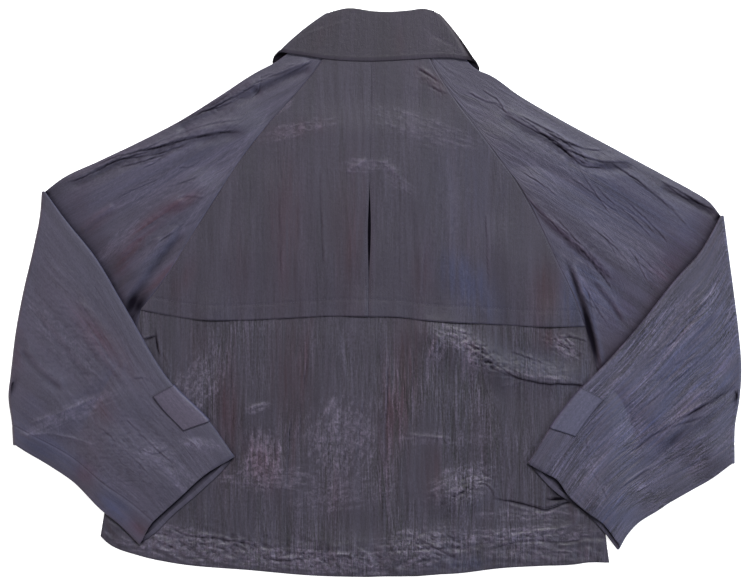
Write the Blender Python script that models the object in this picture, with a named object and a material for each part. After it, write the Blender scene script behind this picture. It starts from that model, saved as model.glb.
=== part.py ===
"""A light windbreaker laid flat with its back up and both sleeves folded back over the body.

The garment lies on the plane z = 0 with its collar towards +Y. Lengths are in millimetres up to the point
where a mesh is made, and there they become metres. Left and right are the wearer's: the left sleeve is at -X.

Every piece is a wall of cloth around a middle surface. A flat panel is filled in between its four sewn edges.
A sleeve is a flattened tube that runs out to the elbow, turns back on itself there and ends at its cuff. The
collar is a flattened ring, and its leaf rolls over the top of the stand.
"""

import math

import bpy
import numpy as np

MM = 0.001

# Cloth
WALL = 1.2                # thickness of one layer of cloth
SEAM = 0.3                # gap that two sewn pieces keep
LAYER = WALL + SEAM       # from one layer's middle to the next one's
FLOOR = WALL / 2          # middle of a layer that lies on the floor
BODY_SEAM_DRAW = SEAM * 2.5      # how far the body's panels stay back from their seam lines
SLEEVE_SEAM_DRAW = SEAM * 1.5    # the same for the sleeves at the raglan seams
SLEEVE_SEAM_GAP = SEAM * 2       # between the two halves of a sleeve

# Body
CENTRE_BACK = [(-3, 308), (-6, 140), (-7.7, -28), (-8, -340)]
FRONT_OVERLAP_EDGES = {"left": 20, "right": -14}    # x of the front edges, the left one below
OVERLAP_MARGIN = 4        # room that the right front leaves beside the left one's edge
OVERLAP_RISE = {"half_width": 130, "fade": 90, "top": 235, "top_fade": 45}    # of the back over both fronts
FRONT_STRIP = 50          # half width of the strip of each front that overlaps
FRONT_STRIP_HEM = 1       # how much higher the hem is at the strip's outer side
FRONT_STRIP_MARGIN = 10   # hem rows nearer than this to the strip are left out
FRONT_NECK_DEPTH = 180    # y of the neck seam at the front edges
BACK_LOFT = 0.7           # air under the back panel
CAPE_LOFT = 0.6           # air under the cape
COLLAR_PRESS = {"back": 0.6, "cape": 0.7}    # share of that air that the collar presses out
CAPE_EDGE_LIFT = 1.4      # how far the cape's free edge stands off the back
CAPE_EDGE_SHARE = 0.25    # share of the cape's length over which it lifts
VENT_TOP = 140            # y where the cape's two halves part
VENT_FOOT = 9             # y where they close again
VENT_HALF_WIDTH = 1.75

# Sleeves
SLEEVE_GAP = 1.8          # between the middles of a sleeve's two layers at its edges
ELBOW_RADIUS = 1.5        # inner layer's turn at the elbow
UPPER_LOFT = 2.6          # air inside the upper sleeve
LOWER_LOFT = 1.8          # air inside the folded lower sleeve
ELBOW_FADE = 0.2          # share of each half's length over which that air ends at the elbow
SEAM_OFFSET = {"raglan": 8, "elbow": 22, "cuff": 30}    # from the sleeve's edge to its seams on the front
CLEAR_MARGIN = 4          # folds end this far from a folded sleeve's inner edge
CLEAR_FADE = 30
DROOP_FADE = 45           # distance over which the folded sleeve sinks to the floor beside the body
TAB_LENGTH = 61
TAB_SKEW = 13             # how much nearer to the elbow the tab's sewn side is
TAB_LIFT = LAYER + SEAM

# Collar
COLLAR_LIFT = 1.5         # the front leaf lies under the fronts and lifts them by a layer
COLLAR_ZONE = {"x": 2, "y": 280, "half_width": 135, "half_length": 150, "fade": 0.35}
LEAF_BACK_HEIGHT = 7.2    # middle of the leaf on the back
STAND_BACK_HEIGHT = 5.1
STAND_FRONT_HEIGHT = FLOOR + LAYER
STAND_TOP_GAP = WALL * 1.5      # from the stand's top to the fold line
STAND_FOOT_GAP = WALL           # from the neck seam to the stand's foot
NECK_SEAM_RISE = 6              # of the collar's seam over the fronts' corners
ROLL_ANGLES = (0.25, math.pi / 3, 2 * math.pi / 3)    # columns of the leaf's roll over the fold line

# Cloth colours, as linear values
CLOTH_COLOURS = {
    "body": (0.072, 0.063, 0.084, 1.0),
    "cape": (0.070, 0.061, 0.082, 1.0),
    "sleeve": (0.088, 0.083, 0.116, 1.0),
    "tab": (0.108, 0.103, 0.145, 1.0),
    "collar": (0.075, 0.068, 0.089, 1.0),
}
CLOTH_ROUGHNESS = 0.48
SHARP_DEGREES = 40        # edges of the cloth that turn more than this look sharp

# Corners and sewn edges of each side. A row is a point (x, y); an edge runs between the corners that its
# comment names and its rows are the points between them.
SIDES = {
    "left": {
        "hand": -1,
        "neck_side": (-86, 302),
        "raglan_top": (-48, 306),
        "front_raglan_top": (-86, 266),
        "cape_corner": (-281, -20),
        "armpit": (-291, -68),
        "hem_corner": (-329, -291),
        "tip": (-395.5, 120.5),
        "elbow": (-430, -181),
        "cuff_inner": (-169, -196.5),
        "cuff_outer": (-281, -300),
        # raglan_top to cape_corner
        "raglan": [
            (-63.5, 278.5), (-91, 243), (-132, 197.5), (-164, 156), (-195.5, 107), (-223, 64), (-252, 17),
        ],
        # front_raglan_top to armpit
        "front_raglan": [(-105, 235), (-140, 189), (-195, 107), (-250, 18), (-275, -26)],
        # front_raglan_top to the front edge
        "front_neck": [(-66, 222), (-50, 205), (-22, 187)],
        # armpit to hem_corner
        "side_seam": [(-312, -190)],
        # hem_corner to the centre back
        "hem": [(-322, -298), (-281, -315), (-244, -323), (-150, -332), (-72, -338.5)],
        # cape_corner to the centre back
        "cape_hem": [(-251, -26), (-209, -32), (-165, -32.5), (-103, -30), (-59, -27.7)],
        # neck_side to tip
        "shoulder": [(-119, 273), (-140, 261), (-192, 229.5), (-243, 198), (-335, 152)],
        # tip to elbow
        "crease": [
            (-397.5, 95), (-405, 56), (-418, 0), (-426, -42), (-433, -99), (-435.5, -122), (-431.5, -155),
        ],
        # armpit to elbow
        "underarm": [(-360, -108)],
        # tip to cuff_inner
        "inner_edge": [(-372, 88), (-336, 43), (-301, -15.5), (-242.5, -111), (-198.5, -155.5)],
        # elbow to cuff_outer
        "outer_edge": [(-421, -187), (-399.5, -200), (-363, -224), (-326, -259.5), (-306, -275.5)],
        # cuff_inner to cuff_outer, first the layer on top and then the one under it
        "cuff_front": [(-201, -215.5), (-238, -248.5), (-257, -265.5), (-266, -274)],
        "cuff_back": [(-180, -209.5), (-213, -241), (-246, -269.5), (-261, -285)],
        "tab_start": 0.711,     # share of the lower sleeve's length where the tab begins
        "collar_top": (-44.5, 336.5),
        "collar_bottom": (-121, 277),
        "leaf_corner": (-111.5, 288.5),
        "collar_point": (-46, 151),
        "leaf_front_edge": [(-113, 238), (-88, 190)],
        "fold_front": [(-60, 290), (-46, 240)],
    },
    "right": {
        "hand": 1,
        "neck_side": (95, 297),
        "raglan_top": (55, 306),
        "front_raglan_top": (93, 262),
        "cape_corner": (252, -40),
        "armpit": (267, -93),
        "hem_corner": (281, -323),
        "tip": (414.5, 91.5),
        "elbow": (427.5, -203),
        "cuff_inner": (184, -204.5),
        "cuff_outer": (291, -299.5),
        "raglan": [
            (66, 280), (88, 243), (126, 192), (155, 153), (174, 127),
            (190, 98), (205, 66), (220, 34), (236, 1),
        ],
        "front_raglan": [(108, 228), (133, 189.5), (172, 127), (205, 66), (221, 32), (250, -40)],
        "front_neck": [(74, 220), (50, 200), (28, 188)],
        "side_seam": [(270.5, -160), (275.5, -280)],
        "hem": [(254, -323), (241, -325), (198, -326), (153, -327), (97, -335.5), (54, -337.5)],
        "cape_hem": [(201, -40.5), (143.5, -37.5), (57.5, -32.5), (30, -29)],
        "shoulder": [
            (121, 268), (138, 260.5), (169, 238.5), (218, 209.5), (287, 172), (358, 132), (395, 106.5),
        ],
        "crease": [(421, 42), (427, -3.5), (432, -44), (435.5, -96), (433.5, -125), (428, -159)],
        "underarm": [(345, -128)],
        "inner_edge": [(388.5, 46.5), (360, 14.5), (317, -40), (268, -94.5), (251, -111.5), (216.5, -154.5)],
        "outer_edge": [(401, -222.5), (372.5, -238), (341, -256.5), (310, -277), (300, -287.5)],
        "cuff_front": [(205, -216), (215, -221), (233, -244), (256, -263.5), (272, -275)],
        "cuff_back": [(219.5, -240.5), (242.5, -255.5), (272, -281)],
        "tab_start": 0.705,
        "collar_top": (66.5, 336.5),
        "collar_bottom": (121.5, 270.5),
        "leaf_corner": (108, 279.5),
        "collar_point": (52, 151),
        "leaf_front_edge": [(116, 232), (92, 188)],
        "fold_front": [(73, 288), (55, 240)],
    },
}

# The collar on the back, left to right: the fold line along its top and the leaf's lower edge
FOLD_BACK = [(-36, 340), (0, 335.8), (15, 335.2), (41, 337), (60, 339.5)]
LEAF_EDGE_BACK = [(-85, 284.6), (-52, 279.7), (0, 277.8), (45.5, 280), (93, 281.5)]
FOLD_CENTRE_FRONT = (3, 212)      # where the two front ends of the collar meet
FRONT_END_GAP = 4                 # from that place to each end

# Soft folds of each layer: two ends, height and half width
FOLD_COLUMNS = ("x0", "y0", "x1", "y1", "height", "half_width")
FOLDS = {
    "back": [
        (74, -50, 150, -92, 3.4, 20),
        (150, -92, 250, -112, 4.0, 19),
        (86, -240, 160, -252, 2.6, 19),
        (160, -252, 236, -250, 3.0, 18),
        (-190, -300, -20, -312, 2.4, 22),
        (20, -310, 150, -300, 2.4, 22),
        (-150, -150, -120, -240, 1.4, 30),
    ],
    "cape": [
        (-40, 130, -60, 20, 1.0, 30),
        (60, 150, 100, 20, 1.0, 34),
        (-130, 120, -190, 0, 1.0, 34),
        (150, 60, 200, -20, 1.2, 28),
    ],
    "left_upper": [
        (-150, 205, -340, 128, 2.8, 24),
        (-215, 125, -300, 40, 2.8, 24),
        (-120, 245, -225, 190, 1.6, 20),
    ],
    "right_upper": [
        (110, 215, 280, 135, 2.8, 24),
        (280, 148, 385, 70, 2.6, 22),
        (195, 130, 300, 30, 2.6, 24),
    ],
    "left_lower": [
        (-395, 20, -300, -130, 1.6, 26),
        (-405, -120, -260, -225, 1.5, 26),
    ],
    "right_lower": [
        (400, -20, 290, -160, 1.6, 26),
        (400, -150, 265, -240, 1.5, 26),
    ],
}


def smooth(share):
    """Eases from 0 to 1 as the share does, and stays there outside that range."""
    share = np.clip(share, 0.0, 1.0)
    return share * share * (3.0 - 2.0 * share)


def fold_heights(layer, plan):
    """Height that a layer's soft folds add at each place in plan."""
    total = np.zeros(plan.shape[:-1])
    for row in FOLDS[layer]:
        fold = dict(zip(FOLD_COLUMNS, row))
        start = np.array([fold["x0"], fold["y0"]])
        run = np.array([fold["x1"], fold["y1"]]) - start
        along = ((plan - start) @ run) / (run @ run)
        nearest = start + np.clip(along, 0.0, 1.0)[..., None] * run
        aside = np.linalg.norm(plan - nearest, axis=-1)
        total = np.maximum(total, fold["height"] * np.exp(-(aside / fold["half_width"]) ** 2))
    return total


def edge(start, rows, end):
    """Smooth line from a corner through the rows to another corner, read by the share of its length."""
    points = np.array([start, *rows, end], float)
    knots = np.concatenate([[0.0], np.cumsum(np.linalg.norm(np.diff(points, axis=0), axis=1))])
    slopes = np.gradient(points, knots, axis=0)

    def at(share):
        place = np.asarray(share, float) * knots[-1]
        k = np.clip(np.searchsorted(knots, place, side="right") - 1, 0, len(knots) - 2)
        span = (knots[k + 1] - knots[k])[..., None]
        t = (place - knots[k])[..., None] / span
        ease = t * t * (3.0 - 2.0 * t)
        pull = slopes[k] * t * (1.0 - t) ** 2 - slopes[k + 1] * t * t * (1.0 - t)
        return points[k] * (1.0 - ease) + points[k + 1] * ease + span * pull

    at.length = knots[-1]
    return at


def chain(first, second, corner=None):
    """One line made of two that meet at a corner, whose share follows their lengths if it isn't given."""
    if corner is None:
        corner = first.length / (first.length + second.length)

    def at(share):
        share = np.asarray(share, float)
        early = first(np.clip(share / corner, 0.0, 1.0))
        late = second(np.clip((share - corner) / (1.0 - corner), 0.0, 1.0))
        return np.where((share < corner)[..., None], early, late)

    at.length = first.length + second.length
    at.corner = corner
    return at


def panel(first, last, start, end):
    """Fills the plan between four edges: first and last run along v, start and end along u."""

    def at(u, v):
        wide_u = u[..., None]
        wide_v = v[..., None]
        across = (1.0 - wide_u) * first(v) + wide_u * last(v)
        along = (1.0 - wide_v) * start(u) + wide_v * end(u)
        near = (1.0 - wide_v) * first(0.0) + wide_v * first(1.0)
        far = (1.0 - wide_v) * last(0.0) + wide_v * last(1.0)
        return across + along - (1.0 - wide_u) * near - wide_u * far

    return at


def grid(u_shares, v_shares):
    """Two arrays of shares for every crossing of a grid."""
    return np.meshgrid(np.asarray(u_shares, float), np.asarray(v_shares, float), indexing="ij")


def solid_points(plan, height):
    """Joins places in plan and their heights."""
    return np.concatenate([plan, np.broadcast_to(height, plan.shape[:-1])[..., None]], axis=-1)


def unit(vectors):
    """Vectors of length 1."""
    return vectors / np.maximum(np.linalg.norm(vectors, axis=-1, keepdims=True), 1e-9)


def collar_share(plan):
    """1 where the front leaf of the collar lies underneath, 0 away from it."""
    zone = COLLAR_ZONE
    aside = (plan[..., 0] - zone["x"]) / zone["half_width"]
    along = (plan[..., 1] - zone["y"]) / zone["half_length"]
    return smooth((1.0 + zone["fade"] - np.hypot(aside, along)) / zone["fade"])


def floor_height(plan):
    """Middle of the lowest layer, which the front leaf of the collar lifts."""
    return FLOOR + COLLAR_LIFT * collar_share(plan)


def overlap_rise(plan):
    """Rise of the back over the strip where the two fronts overlap."""
    rise = OVERLAP_RISE
    aside = np.abs(plan[..., 0] - sum(FRONT_OVERLAP_EDGES.values()) / 2)
    across = smooth((rise["half_width"] - aside) / rise["fade"])
    return LAYER * across * smooth((rise["top"] - plan[..., 1]) / rise["top_fade"])


def clear_of_sleeve(plan, side):
    """0 under a folded sleeve and 1 well clear of it, by the distance from its inner edge."""
    start = np.array(side["tip"])
    run = np.array(side["cuff_inner"]) - start
    normal = np.array([-run[1], run[0]]) / np.linalg.norm(run)
    outward = -side["hand"] * math.copysign(1.0, normal[0])
    return smooth(((plan - start) @ (normal * outward) - CLEAR_MARGIN) / CLEAR_FADE)


def back_height(plan):
    """Middle of the back panel."""
    clear = clear_of_sleeve(plan, SIDES["left"]) * clear_of_sleeve(plan, SIDES["right"])
    loft = BACK_LOFT * (1.0 - COLLAR_PRESS["back"] * collar_share(plan)) + fold_heights("back", plan) * clear
    return floor_height(plan) + LAYER + overlap_rise(plan) + loft


def cape_height(plan, drop):
    """Middle of the cape; drop is 0 at its neck seam and 1 at its free edge."""
    pressed = collar_share(plan)
    loft = CAPE_LOFT * (1.0 - COLLAR_PRESS["cape"] * pressed) + fold_heights("cape", plan) * (1.0 - pressed)
    lift = CAPE_EDGE_LIFT * smooth((drop - 1.0) / CAPE_EDGE_SHARE + 1.0)
    return back_height(plan) + LAYER + loft + lift


def drawn_in(points):
    """Draws a body panel's first row and first column back from the seams that they run along."""
    points = points.copy()
    points[0] += unit(points[1] - points[0]) * BODY_SEAM_DRAW
    points[:, 0] += unit(points[:, 1] - points[:, 0]) * BODY_SEAM_DRAW
    return points


def grid_normals(points):
    """Normal at each point of a grid, the mean of the normals of the faces around it."""
    diagonal = points[1:, 1:] - points[:-1, :-1]
    other = points[:-1, 1:] - points[1:, :-1]
    faces = unit(np.cross(diagonal, other))
    total = np.zeros_like(points)
    total[:-1, :-1] += faces
    total[1:, :-1] += faces
    total[:-1, 1:] += faces
    total[1:, 1:] += faces
    return unit(total)


def wall(name, points, colour):
    """Makes one closed wall of cloth around a grid of middle points."""
    normals = grid_normals(points)
    rows, columns = points.shape[:2]
    count = rows * columns
    outside = points + normals * WALL / 2
    inside = points - normals * WALL / 2
    corners = np.concatenate([outside.reshape(-1, 3), inside.reshape(-1, 3)])
    faces = []
    for i in range(rows - 1):
        for j in range(columns - 1):
            a = i * columns + j
            b, c, d = a + columns, a + columns + 1, a + 1
            faces += [(a, b, c), (a, c, d)]
            faces += [(c + count, b + count, a + count), (d + count, c + count, a + count)]
    rim = [j for j in range(columns)]
    rim += [i * columns + columns - 1 for i in range(1, rows)]
    rim += [(rows - 1) * columns + j for j in range(columns - 2, -1, -1)]
    rim += [i * columns for i in range(rows - 2, 0, -1)]
    for a, b in zip(rim, rim[1:] + rim[:1]):
        faces += [(a, b, b + count), (a, b + count, a + count)]
    mesh = bpy.data.meshes.new(name)
    mesh.from_pydata((corners * MM).tolist(), [], faces)
    mesh.shade_smooth()
    mesh.set_sharp_from_angle(angle=math.radians(SHARP_DEGREES))
    piece = bpy.data.objects.new(name, mesh)
    piece.data.materials.append(cloth_material(colour))
    bpy.context.scene.collection.objects.link(piece)


def cloth_material(kind):
    """Material of one kind of panel."""
    name = "cloth_" + kind
    material = bpy.data.materials.get(name)
    if material is None:
        material = bpy.data.materials.new(name)
        material.use_nodes = True
        shader = material.node_tree.nodes["Principled BSDF"]
        shader.inputs["Base Color"].default_value = CLOTH_COLOURS[kind]
        shader.inputs["Roughness"].default_value = CLOTH_ROUGHNESS
        shader.inputs["Metallic"].default_value = 0.0
    return material


def half_body(side):
    """Plan of one half of the back: first from the neck to the cape's edge, then on to the hem."""
    neck_centre, vent_top, cape_centre, hem_centre = CENTRE_BACK
    upper = panel(
        edge(side["raglan_top"], [], neck_centre),
        edge(side["cape_corner"], side["cape_hem"], cape_centre),
        edge(side["raglan_top"], side["raglan"], side["cape_corner"]),
        edge(neck_centre, [vent_top], cape_centre),
    )
    lower = panel(
        edge(side["cape_corner"], side["cape_hem"], cape_centre),
        edge(side["hem_corner"], side["hem"], hem_centre),
        edge(side["cape_corner"], [side["armpit"], *side["side_seam"]], side["hem_corner"]),
        edge(cape_centre, [], hem_centre),
    )
    return upper, lower


RAGLAN_STEPS = 10    # steps along the raglan seam from the collar to the cape's corner
UPPER_ROWS = np.linspace(0.0, 1.0, RAGLAN_STEPS + 1)
LOWER_ROWS = np.linspace(0.0, 1.0, 15)[1:]
HALF_COLUMNS = np.linspace(0.0, 1.0, 12)
FRONT_RAGLAN_ROWS = 12
FRONT_SIDE_ROWS = 8
FRONT_COLUMNS = np.linspace(0.0, 1.0, 7)


def back():
    """Back panel from the neck to the hem, seam to seam."""
    halves = []
    for side in SIDES.values():
        upper, lower = half_body(side)
        above = upper(*grid(UPPER_ROWS, HALF_COLUMNS))
        below = lower(*grid(LOWER_ROWS, HALF_COLUMNS))
        halves.append(drawn_in(np.concatenate([above, below])))
    left, right = halves
    plan = np.concatenate([left, right[:, -2::-1]], axis=1)
    wall("back", solid_points(plan, back_height(plan)), "body")


def cape(name):
    """One half of the cape over the back, with its side of the vent."""
    side = SIDES[name]
    upper, _ = half_body(side)
    drop, across = grid(UPPER_ROWS, HALF_COLUMNS)
    plan = drawn_in(upper(drop, across))
    at_centre = plan[:, -1, 1]
    opening = np.clip((VENT_TOP - at_centre) / (VENT_TOP - VENT_FOOT), 0.0, 1.0)
    half_gap = SEAM / 2 + VENT_HALF_WIDTH * np.sin(math.pi * opening) ** 2
    plan[:, -1, 0] += side["hand"] * half_gap
    points = solid_points(plan, cape_height(plan, drop))
    if side["hand"] > 0:
        points = points[:, ::-1]
    wall("cape_" + name, points, "cape")


def front(name):
    """One front, flat on the floor; the right one rises over the edge of the left one."""
    side = SIDES[name]
    hand = side["hand"]
    edge_x = FRONT_OVERLAP_EDGES[name]
    left_edge_x = FRONT_OVERLAP_EDGES["left"] + OVERLAP_MARGIN
    strip_x = hand * FRONT_STRIP
    hem_y = CENTRE_BACK[-1][1]
    hem_rows = [row for row in side["hem"] if abs(row[0]) > FRONT_STRIP + FRONT_STRIP_MARGIN]
    strip_hem = (strip_x, hem_y + FRONT_STRIP_HEM)
    outer_neck, strip_neck, inner_neck = side["front_neck"]
    outer = chain(
        edge(side["front_raglan_top"], side["front_raglan"], side["armpit"]),
        edge(side["armpit"], side["side_seam"], side["hem_corner"]),
    )
    main = panel(
        edge(side["front_raglan_top"], [outer_neck], strip_neck),
        edge(side["hem_corner"], hem_rows, strip_hem),
        outer,
        edge(strip_neck, [], strip_hem),
    )
    strip = panel(
        edge(strip_neck, [inner_neck], (edge_x, FRONT_NECK_DEPTH)),
        edge(strip_hem, [], (edge_x, hem_y)),
        edge(strip_neck, [], strip_hem),
        edge((edge_x, FRONT_NECK_DEPTH), [], (edge_x, hem_y)),
    )
    raglan_rows = np.linspace(0.0, outer.corner, FRONT_RAGLAN_ROWS)
    rows = np.concatenate([raglan_rows, np.linspace(outer.corner, 1.0, FRONT_SIDE_ROWS)[1:]])
    overlapped = (left_edge_x - strip_x) / (edge_x - strip_x) if hand > 0 else 0.5
    inside = strip(*grid(rows, [overlapped / 2, overlapped, 1.0]))
    plan = drawn_in(np.concatenate([main(*grid(rows, FRONT_COLUMNS)), inside], axis=1))
    points = solid_points(plan, floor_height(plan))
    if hand > 0:
        points[..., 2] += LAYER * smooth((strip_x - plan[..., 0]) / (strip_x - left_edge_x))
        points = points[:, ::-1]
    wall("front_" + name, points, "body")


class Sleeve:
    """Middle surfaces of one sleeve's two layers, from the raglan seam round the elbow to the cuff."""

    def __init__(self, name):
        self.name = name
        self.side = SIDES[name]
        side = self.side
        crease = edge(side["tip"], side["crease"], side["elbow"])
        shoulder = edge(side["neck_side"], side["shoulder"], side["tip"])
        underarm = edge(side["armpit"], side["underarm"], side["elbow"])
        beside_body = chain(
            edge(side["raglan_top"], side["raglan"], side["cape_corner"]),
            edge(side["cape_corner"], [], side["armpit"]),
            RAGLAN_STEPS / (RAGLAN_STEPS + 1),
        )
        back_start = chain(edge(side["neck_side"], [], side["raglan_top"]), beside_body, ACROSS_SHARES[1])
        front_start = chain(
            edge(side["neck_side"], [], side["front_raglan_top"]),
            edge(side["front_raglan_top"], side["front_raglan"], side["armpit"]),
            ACROSS_SHARES[1],
        )
        inner = edge(side["tip"], side["inner_edge"], side["cuff_inner"])
        outer = edge(side["elbow"], side["outer_edge"], side["cuff_outer"])
        self.crease = crease
        self.inner = inner
        self.upper = {"back": panel(back_start, crease, shoulder, underarm),
                      "front": panel(front_start, crease, shoulder, underarm)}
        self.lower = {}
        for layer in ("back", "front"):
            cuff = edge(side["cuff_inner"], side["cuff_" + layer], side["cuff_outer"])
            self.lower[layer] = panel(crease, cuff, inner, outer)

    def drooped(self, plan):
        """1 where the folded sleeve reaches past the body and the upper sleeve down to the floor."""
        side = self.side
        armpit = np.array(side["armpit"], float)
        distances = []
        for foot, turn in ((side["elbow"], side["hand"]), (side["hem_corner"], -side["hand"])):
            run = np.array(foot, float) - armpit
            normal = turn * np.array([run[1], -run[0]]) / np.linalg.norm(run)
            distances.append((plan - armpit) @ normal)
        return smooth(np.minimum(*distances) / DROOP_FADE)

    def upper_points(self, layer, u, v):
        """Middle of a layer of the upper sleeve at shares u along it and v across it."""
        plan = self.upper[layer](u, v)
        if layer == "front":
            return solid_points(plan, floor_height(plan))
        base = self.upper_points("front", u, v)[..., 2]
        clear = clear_of_sleeve(plan, self.side)
        free = 1.0 - collar_share(plan)
        crown = np.sqrt(np.clip(4.0 * v * (1.0 - v), 0.0, 1.0))
        fade_out = smooth((1.0 - u) / ELBOW_FADE)
        loft = crown * fade_out * free * clear * (UPPER_LOFT + fold_heights(self.name + "_upper", plan))
        at_raglan = (LAYER * 2 - SLEEVE_GAP) * (1.0 - u) ** 3 * free
        lowest = np.maximum(base, floor_height(plan)) + SLEEVE_GAP
        return solid_points(plan, lowest + np.maximum(loft, at_raglan))

    def turn_points(self, layer, angle, v):
        """Middle of a layer as it turns back on itself at the elbow crease."""
        step = 0.01
        axis = self.crease(v)
        run = unit(self.crease(np.minimum(v + step, 1.0)) - self.crease(np.maximum(v - step, 0.0)))
        outward = self.side["hand"] * np.stack([-run[..., 1], run[..., 0]], axis=-1)
        radius = ELBOW_RADIUS + (SLEEVE_GAP if layer == "front" else 0.0)
        middle = FLOOR + SLEEVE_GAP + ELBOW_RADIUS
        plan = axis + outward * (radius * np.sin(angle))[..., None]
        return solid_points(plan, middle - radius * np.cos(angle))

    def lower_points(self, layer, u, v):
        """Middle of a layer of the folded lower sleeve."""
        resting = FLOOR + SLEEVE_GAP + 2 * ELBOW_RADIUS
        plan = self.lower[layer](u, v)
        under = self.lower["back"](u, v)
        height = resting - (resting - FLOOR - SEAM) * self.drooped(under)
        if layer == "front":
            crown = np.sqrt(np.clip(4.0 * v * (1.0 - v), 0.0, 1.0))
            loft = crown * smooth(u / ELBOW_FADE) * (LOWER_LOFT + fold_heights(self.name + "_lower", plan))
            height = height + SLEEVE_GAP + loft
        return solid_points(plan, height)

    def layer_points(self, layer, stations, v):
        """Rows of a layer's points; each station is a stage and its share, with its own shares v across."""
        rows = []
        for (stage, share), across in zip(stations, v):
            shares = np.broadcast_to(share, across.shape)
            if stage == "upper":
                rows.append(self.upper_points(layer, shares, across))
            elif stage == "turn":
                rows.append(self.turn_points(layer, math.pi * shares, across))
            else:
                rows.append(self.lower_points(layer, shares, across))
        return np.array(rows)

    def seam_shares(self, stations, beyond):
        """Shares across the front layer where the overarm and underarm seams run, or a little beyond them."""
        shares = []
        for stage, share in stations:
            first, last = ("elbow", "cuff") if stage == "lower" else ("raglan", "elbow")
            reach = 1.0 if stage == "turn" else share
            offset = SEAM_OFFSET[first] + (SEAM_OFFSET[last] - SEAM_OFFSET[first]) * reach
            ends = self.layer_points("front", [(stage, share)], [np.array([0.0, 1.0])])[0]
            width = np.linalg.norm(ends[1] - ends[0])
            shares.append((offset + beyond) / width)
        return np.array(shares)

    def round_edge(self, stations, side_share, angles):
        """Half-round turn that joins the two layers at an edge of the flattened tube."""
        inside = abs(side_share - EDGE_STEP)
        count = len(stations)
        back_edge = self.layer_points("back", stations, np.full((count, 1), side_share))[:, 0]
        front_edge = self.layer_points("front", stations, np.full((count, 1), side_share))[:, 0]
        within = self.layer_points("back", stations, np.full((count, 1), inside))[:, 0]
        outward = unit((back_edge - within) * [1, 1, 0])
        middle = (back_edge + front_edge) / 2
        half = (front_edge - back_edge) / 2
        bulge = outward * np.linalg.norm(half, axis=1, keepdims=True)
        return np.stack([middle - half * math.cos(a) + bulge * math.sin(a) for a in angles], axis=1)


LAST_UPPER_SHARE = 0.93    # last row of the upper sleeve before the crease
FIRST_LOWER_SHARE = 0.07   # first row of the lower sleeve after it
UPPER_STATIONS = [("upper", share) for share in (*np.linspace(0.0, LAST_UPPER_SHARE, 12), 1.0)]
TURN_STATIONS = [("turn", share) for share in (0.2, 0.4, 0.6, 0.8)]
TAB_ROWS = 5
ROWS_BEFORE_TAB = 8
ROWS_AFTER_TAB = 4
EDGE_STEP = 0.02           # share across a sleeve that gives the direction out of its edge
EDGE_ANGLES = (math.pi * 0.25, math.pi * 0.5, math.pi * 0.75)
ACROSS_SHARES = np.linspace(0.0, 1.0, RAGLAN_STEPS + 3)    # columns of a sleeve's layers
COLUMN_MARGIN = 0.02       # a column nearer than this to a seam is left out of the front half
STRIP_SHARES = np.array([1.0, 0.5, 0.0])    # columns of the strips, from the seam to the edge


def tab_stations(sleeve):
    """Stations of the sleeve that its tab covers at the inner edge."""
    start = sleeve.side["tab_start"]
    end = start + TAB_LENGTH / sleeve.inner.length
    return [("lower", share) for share in np.linspace(start, end, TAB_ROWS)]


def sleeve_stations(sleeve):
    """All stations of a sleeve; those under its tab are the tab's own."""
    tab = tab_stations(sleeve)
    first, last = tab[0][1], tab[-1][1]
    before = [0.0, *np.linspace(FIRST_LOWER_SHARE, first, ROWS_BEFORE_TAB)[:-1]]
    after = np.linspace(last, 1.0, ROWS_AFTER_TAB)[1:]
    lower = [*before, *[share for _, share in tab], *after]
    return UPPER_STATIONS + TURN_STATIONS + [("lower", share) for share in lower]


def sleeve_back(sleeve):
    """Back half of a sleeve: its back layer, and the strips that turn round both edges to the seams."""
    stations = sleeve_stations(sleeve)
    seams = sleeve.seam_shares(stations, 0.0)
    strip = seams[:, None] * STRIP_SHARES
    across = np.tile(ACROSS_SHARES, (len(stations), 1))
    columns = [
        sleeve.layer_points("front", stations, strip),
        sleeve.round_edge(stations, 0.0, EDGE_ANGLES[::-1]),
        sleeve.layer_points("back", stations, across),
        sleeve.round_edge(stations, 1.0, EDGE_ANGLES),
        sleeve.layer_points("front", stations, 1.0 - strip[:, ::-1]),
    ]
    points = np.concatenate(columns, axis=1)
    points[0] += unit(points[1] - points[0]) * SLEEVE_SEAM_DRAW
    if sleeve.side["hand"] > 0:
        points = points[:, ::-1]
    wall("sleeve_back_" + sleeve.name, points, "sleeve")


def sleeve_front(sleeve):
    """Front half of a sleeve, between the overarm and underarm seams."""
    stations = sleeve_stations(sleeve)
    seams = sleeve.seam_shares(stations, SLEEVE_SEAM_GAP)
    elbow = seams[len(UPPER_STATIONS)]
    at_elbow = ACROSS_SHARES[np.abs(ACROSS_SHARES - 0.5) < 0.5 - elbow - COLUMN_MARGIN]
    shares = np.concatenate([[0.0], (at_elbow - elbow) / (1.0 - 2.0 * elbow), [1.0]])
    across = seams[:, None] + (1.0 - 2.0 * seams[:, None]) * shares
    points = sleeve.layer_points("front", stations, across)
    points[0] += unit(points[1] - points[0]) * SLEEVE_SEAM_DRAW
    if sleeve.side["hand"] < 0:
        points = points[:, ::-1]
    wall("sleeve_front_" + sleeve.name, points, "sleeve")


def sleeve_tab(sleeve):
    """Tab from the overarm seam round the inner edge, made from the sleeve's points moved out."""
    stations = tab_stations(sleeve)
    strip = sleeve.seam_shares(stations, 0.0)[:, None] * STRIP_SHARES
    skew = TAB_SKEW / sleeve.inner.length * STRIP_SHARES
    points = np.concatenate([
        sleeve.layer_points("front", [(stage, share - skew) for stage, share in stations], strip),
        sleeve.round_edge(stations, 0.0, EDGE_ANGLES[:0:-1]),
    ], axis=1)
    if sleeve.side["hand"] > 0:
        points = points[:, ::-1]
    wall("sleeve_tab_" + sleeve.name, points + grid_normals(points) * TAB_LIFT, "tab")


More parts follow.
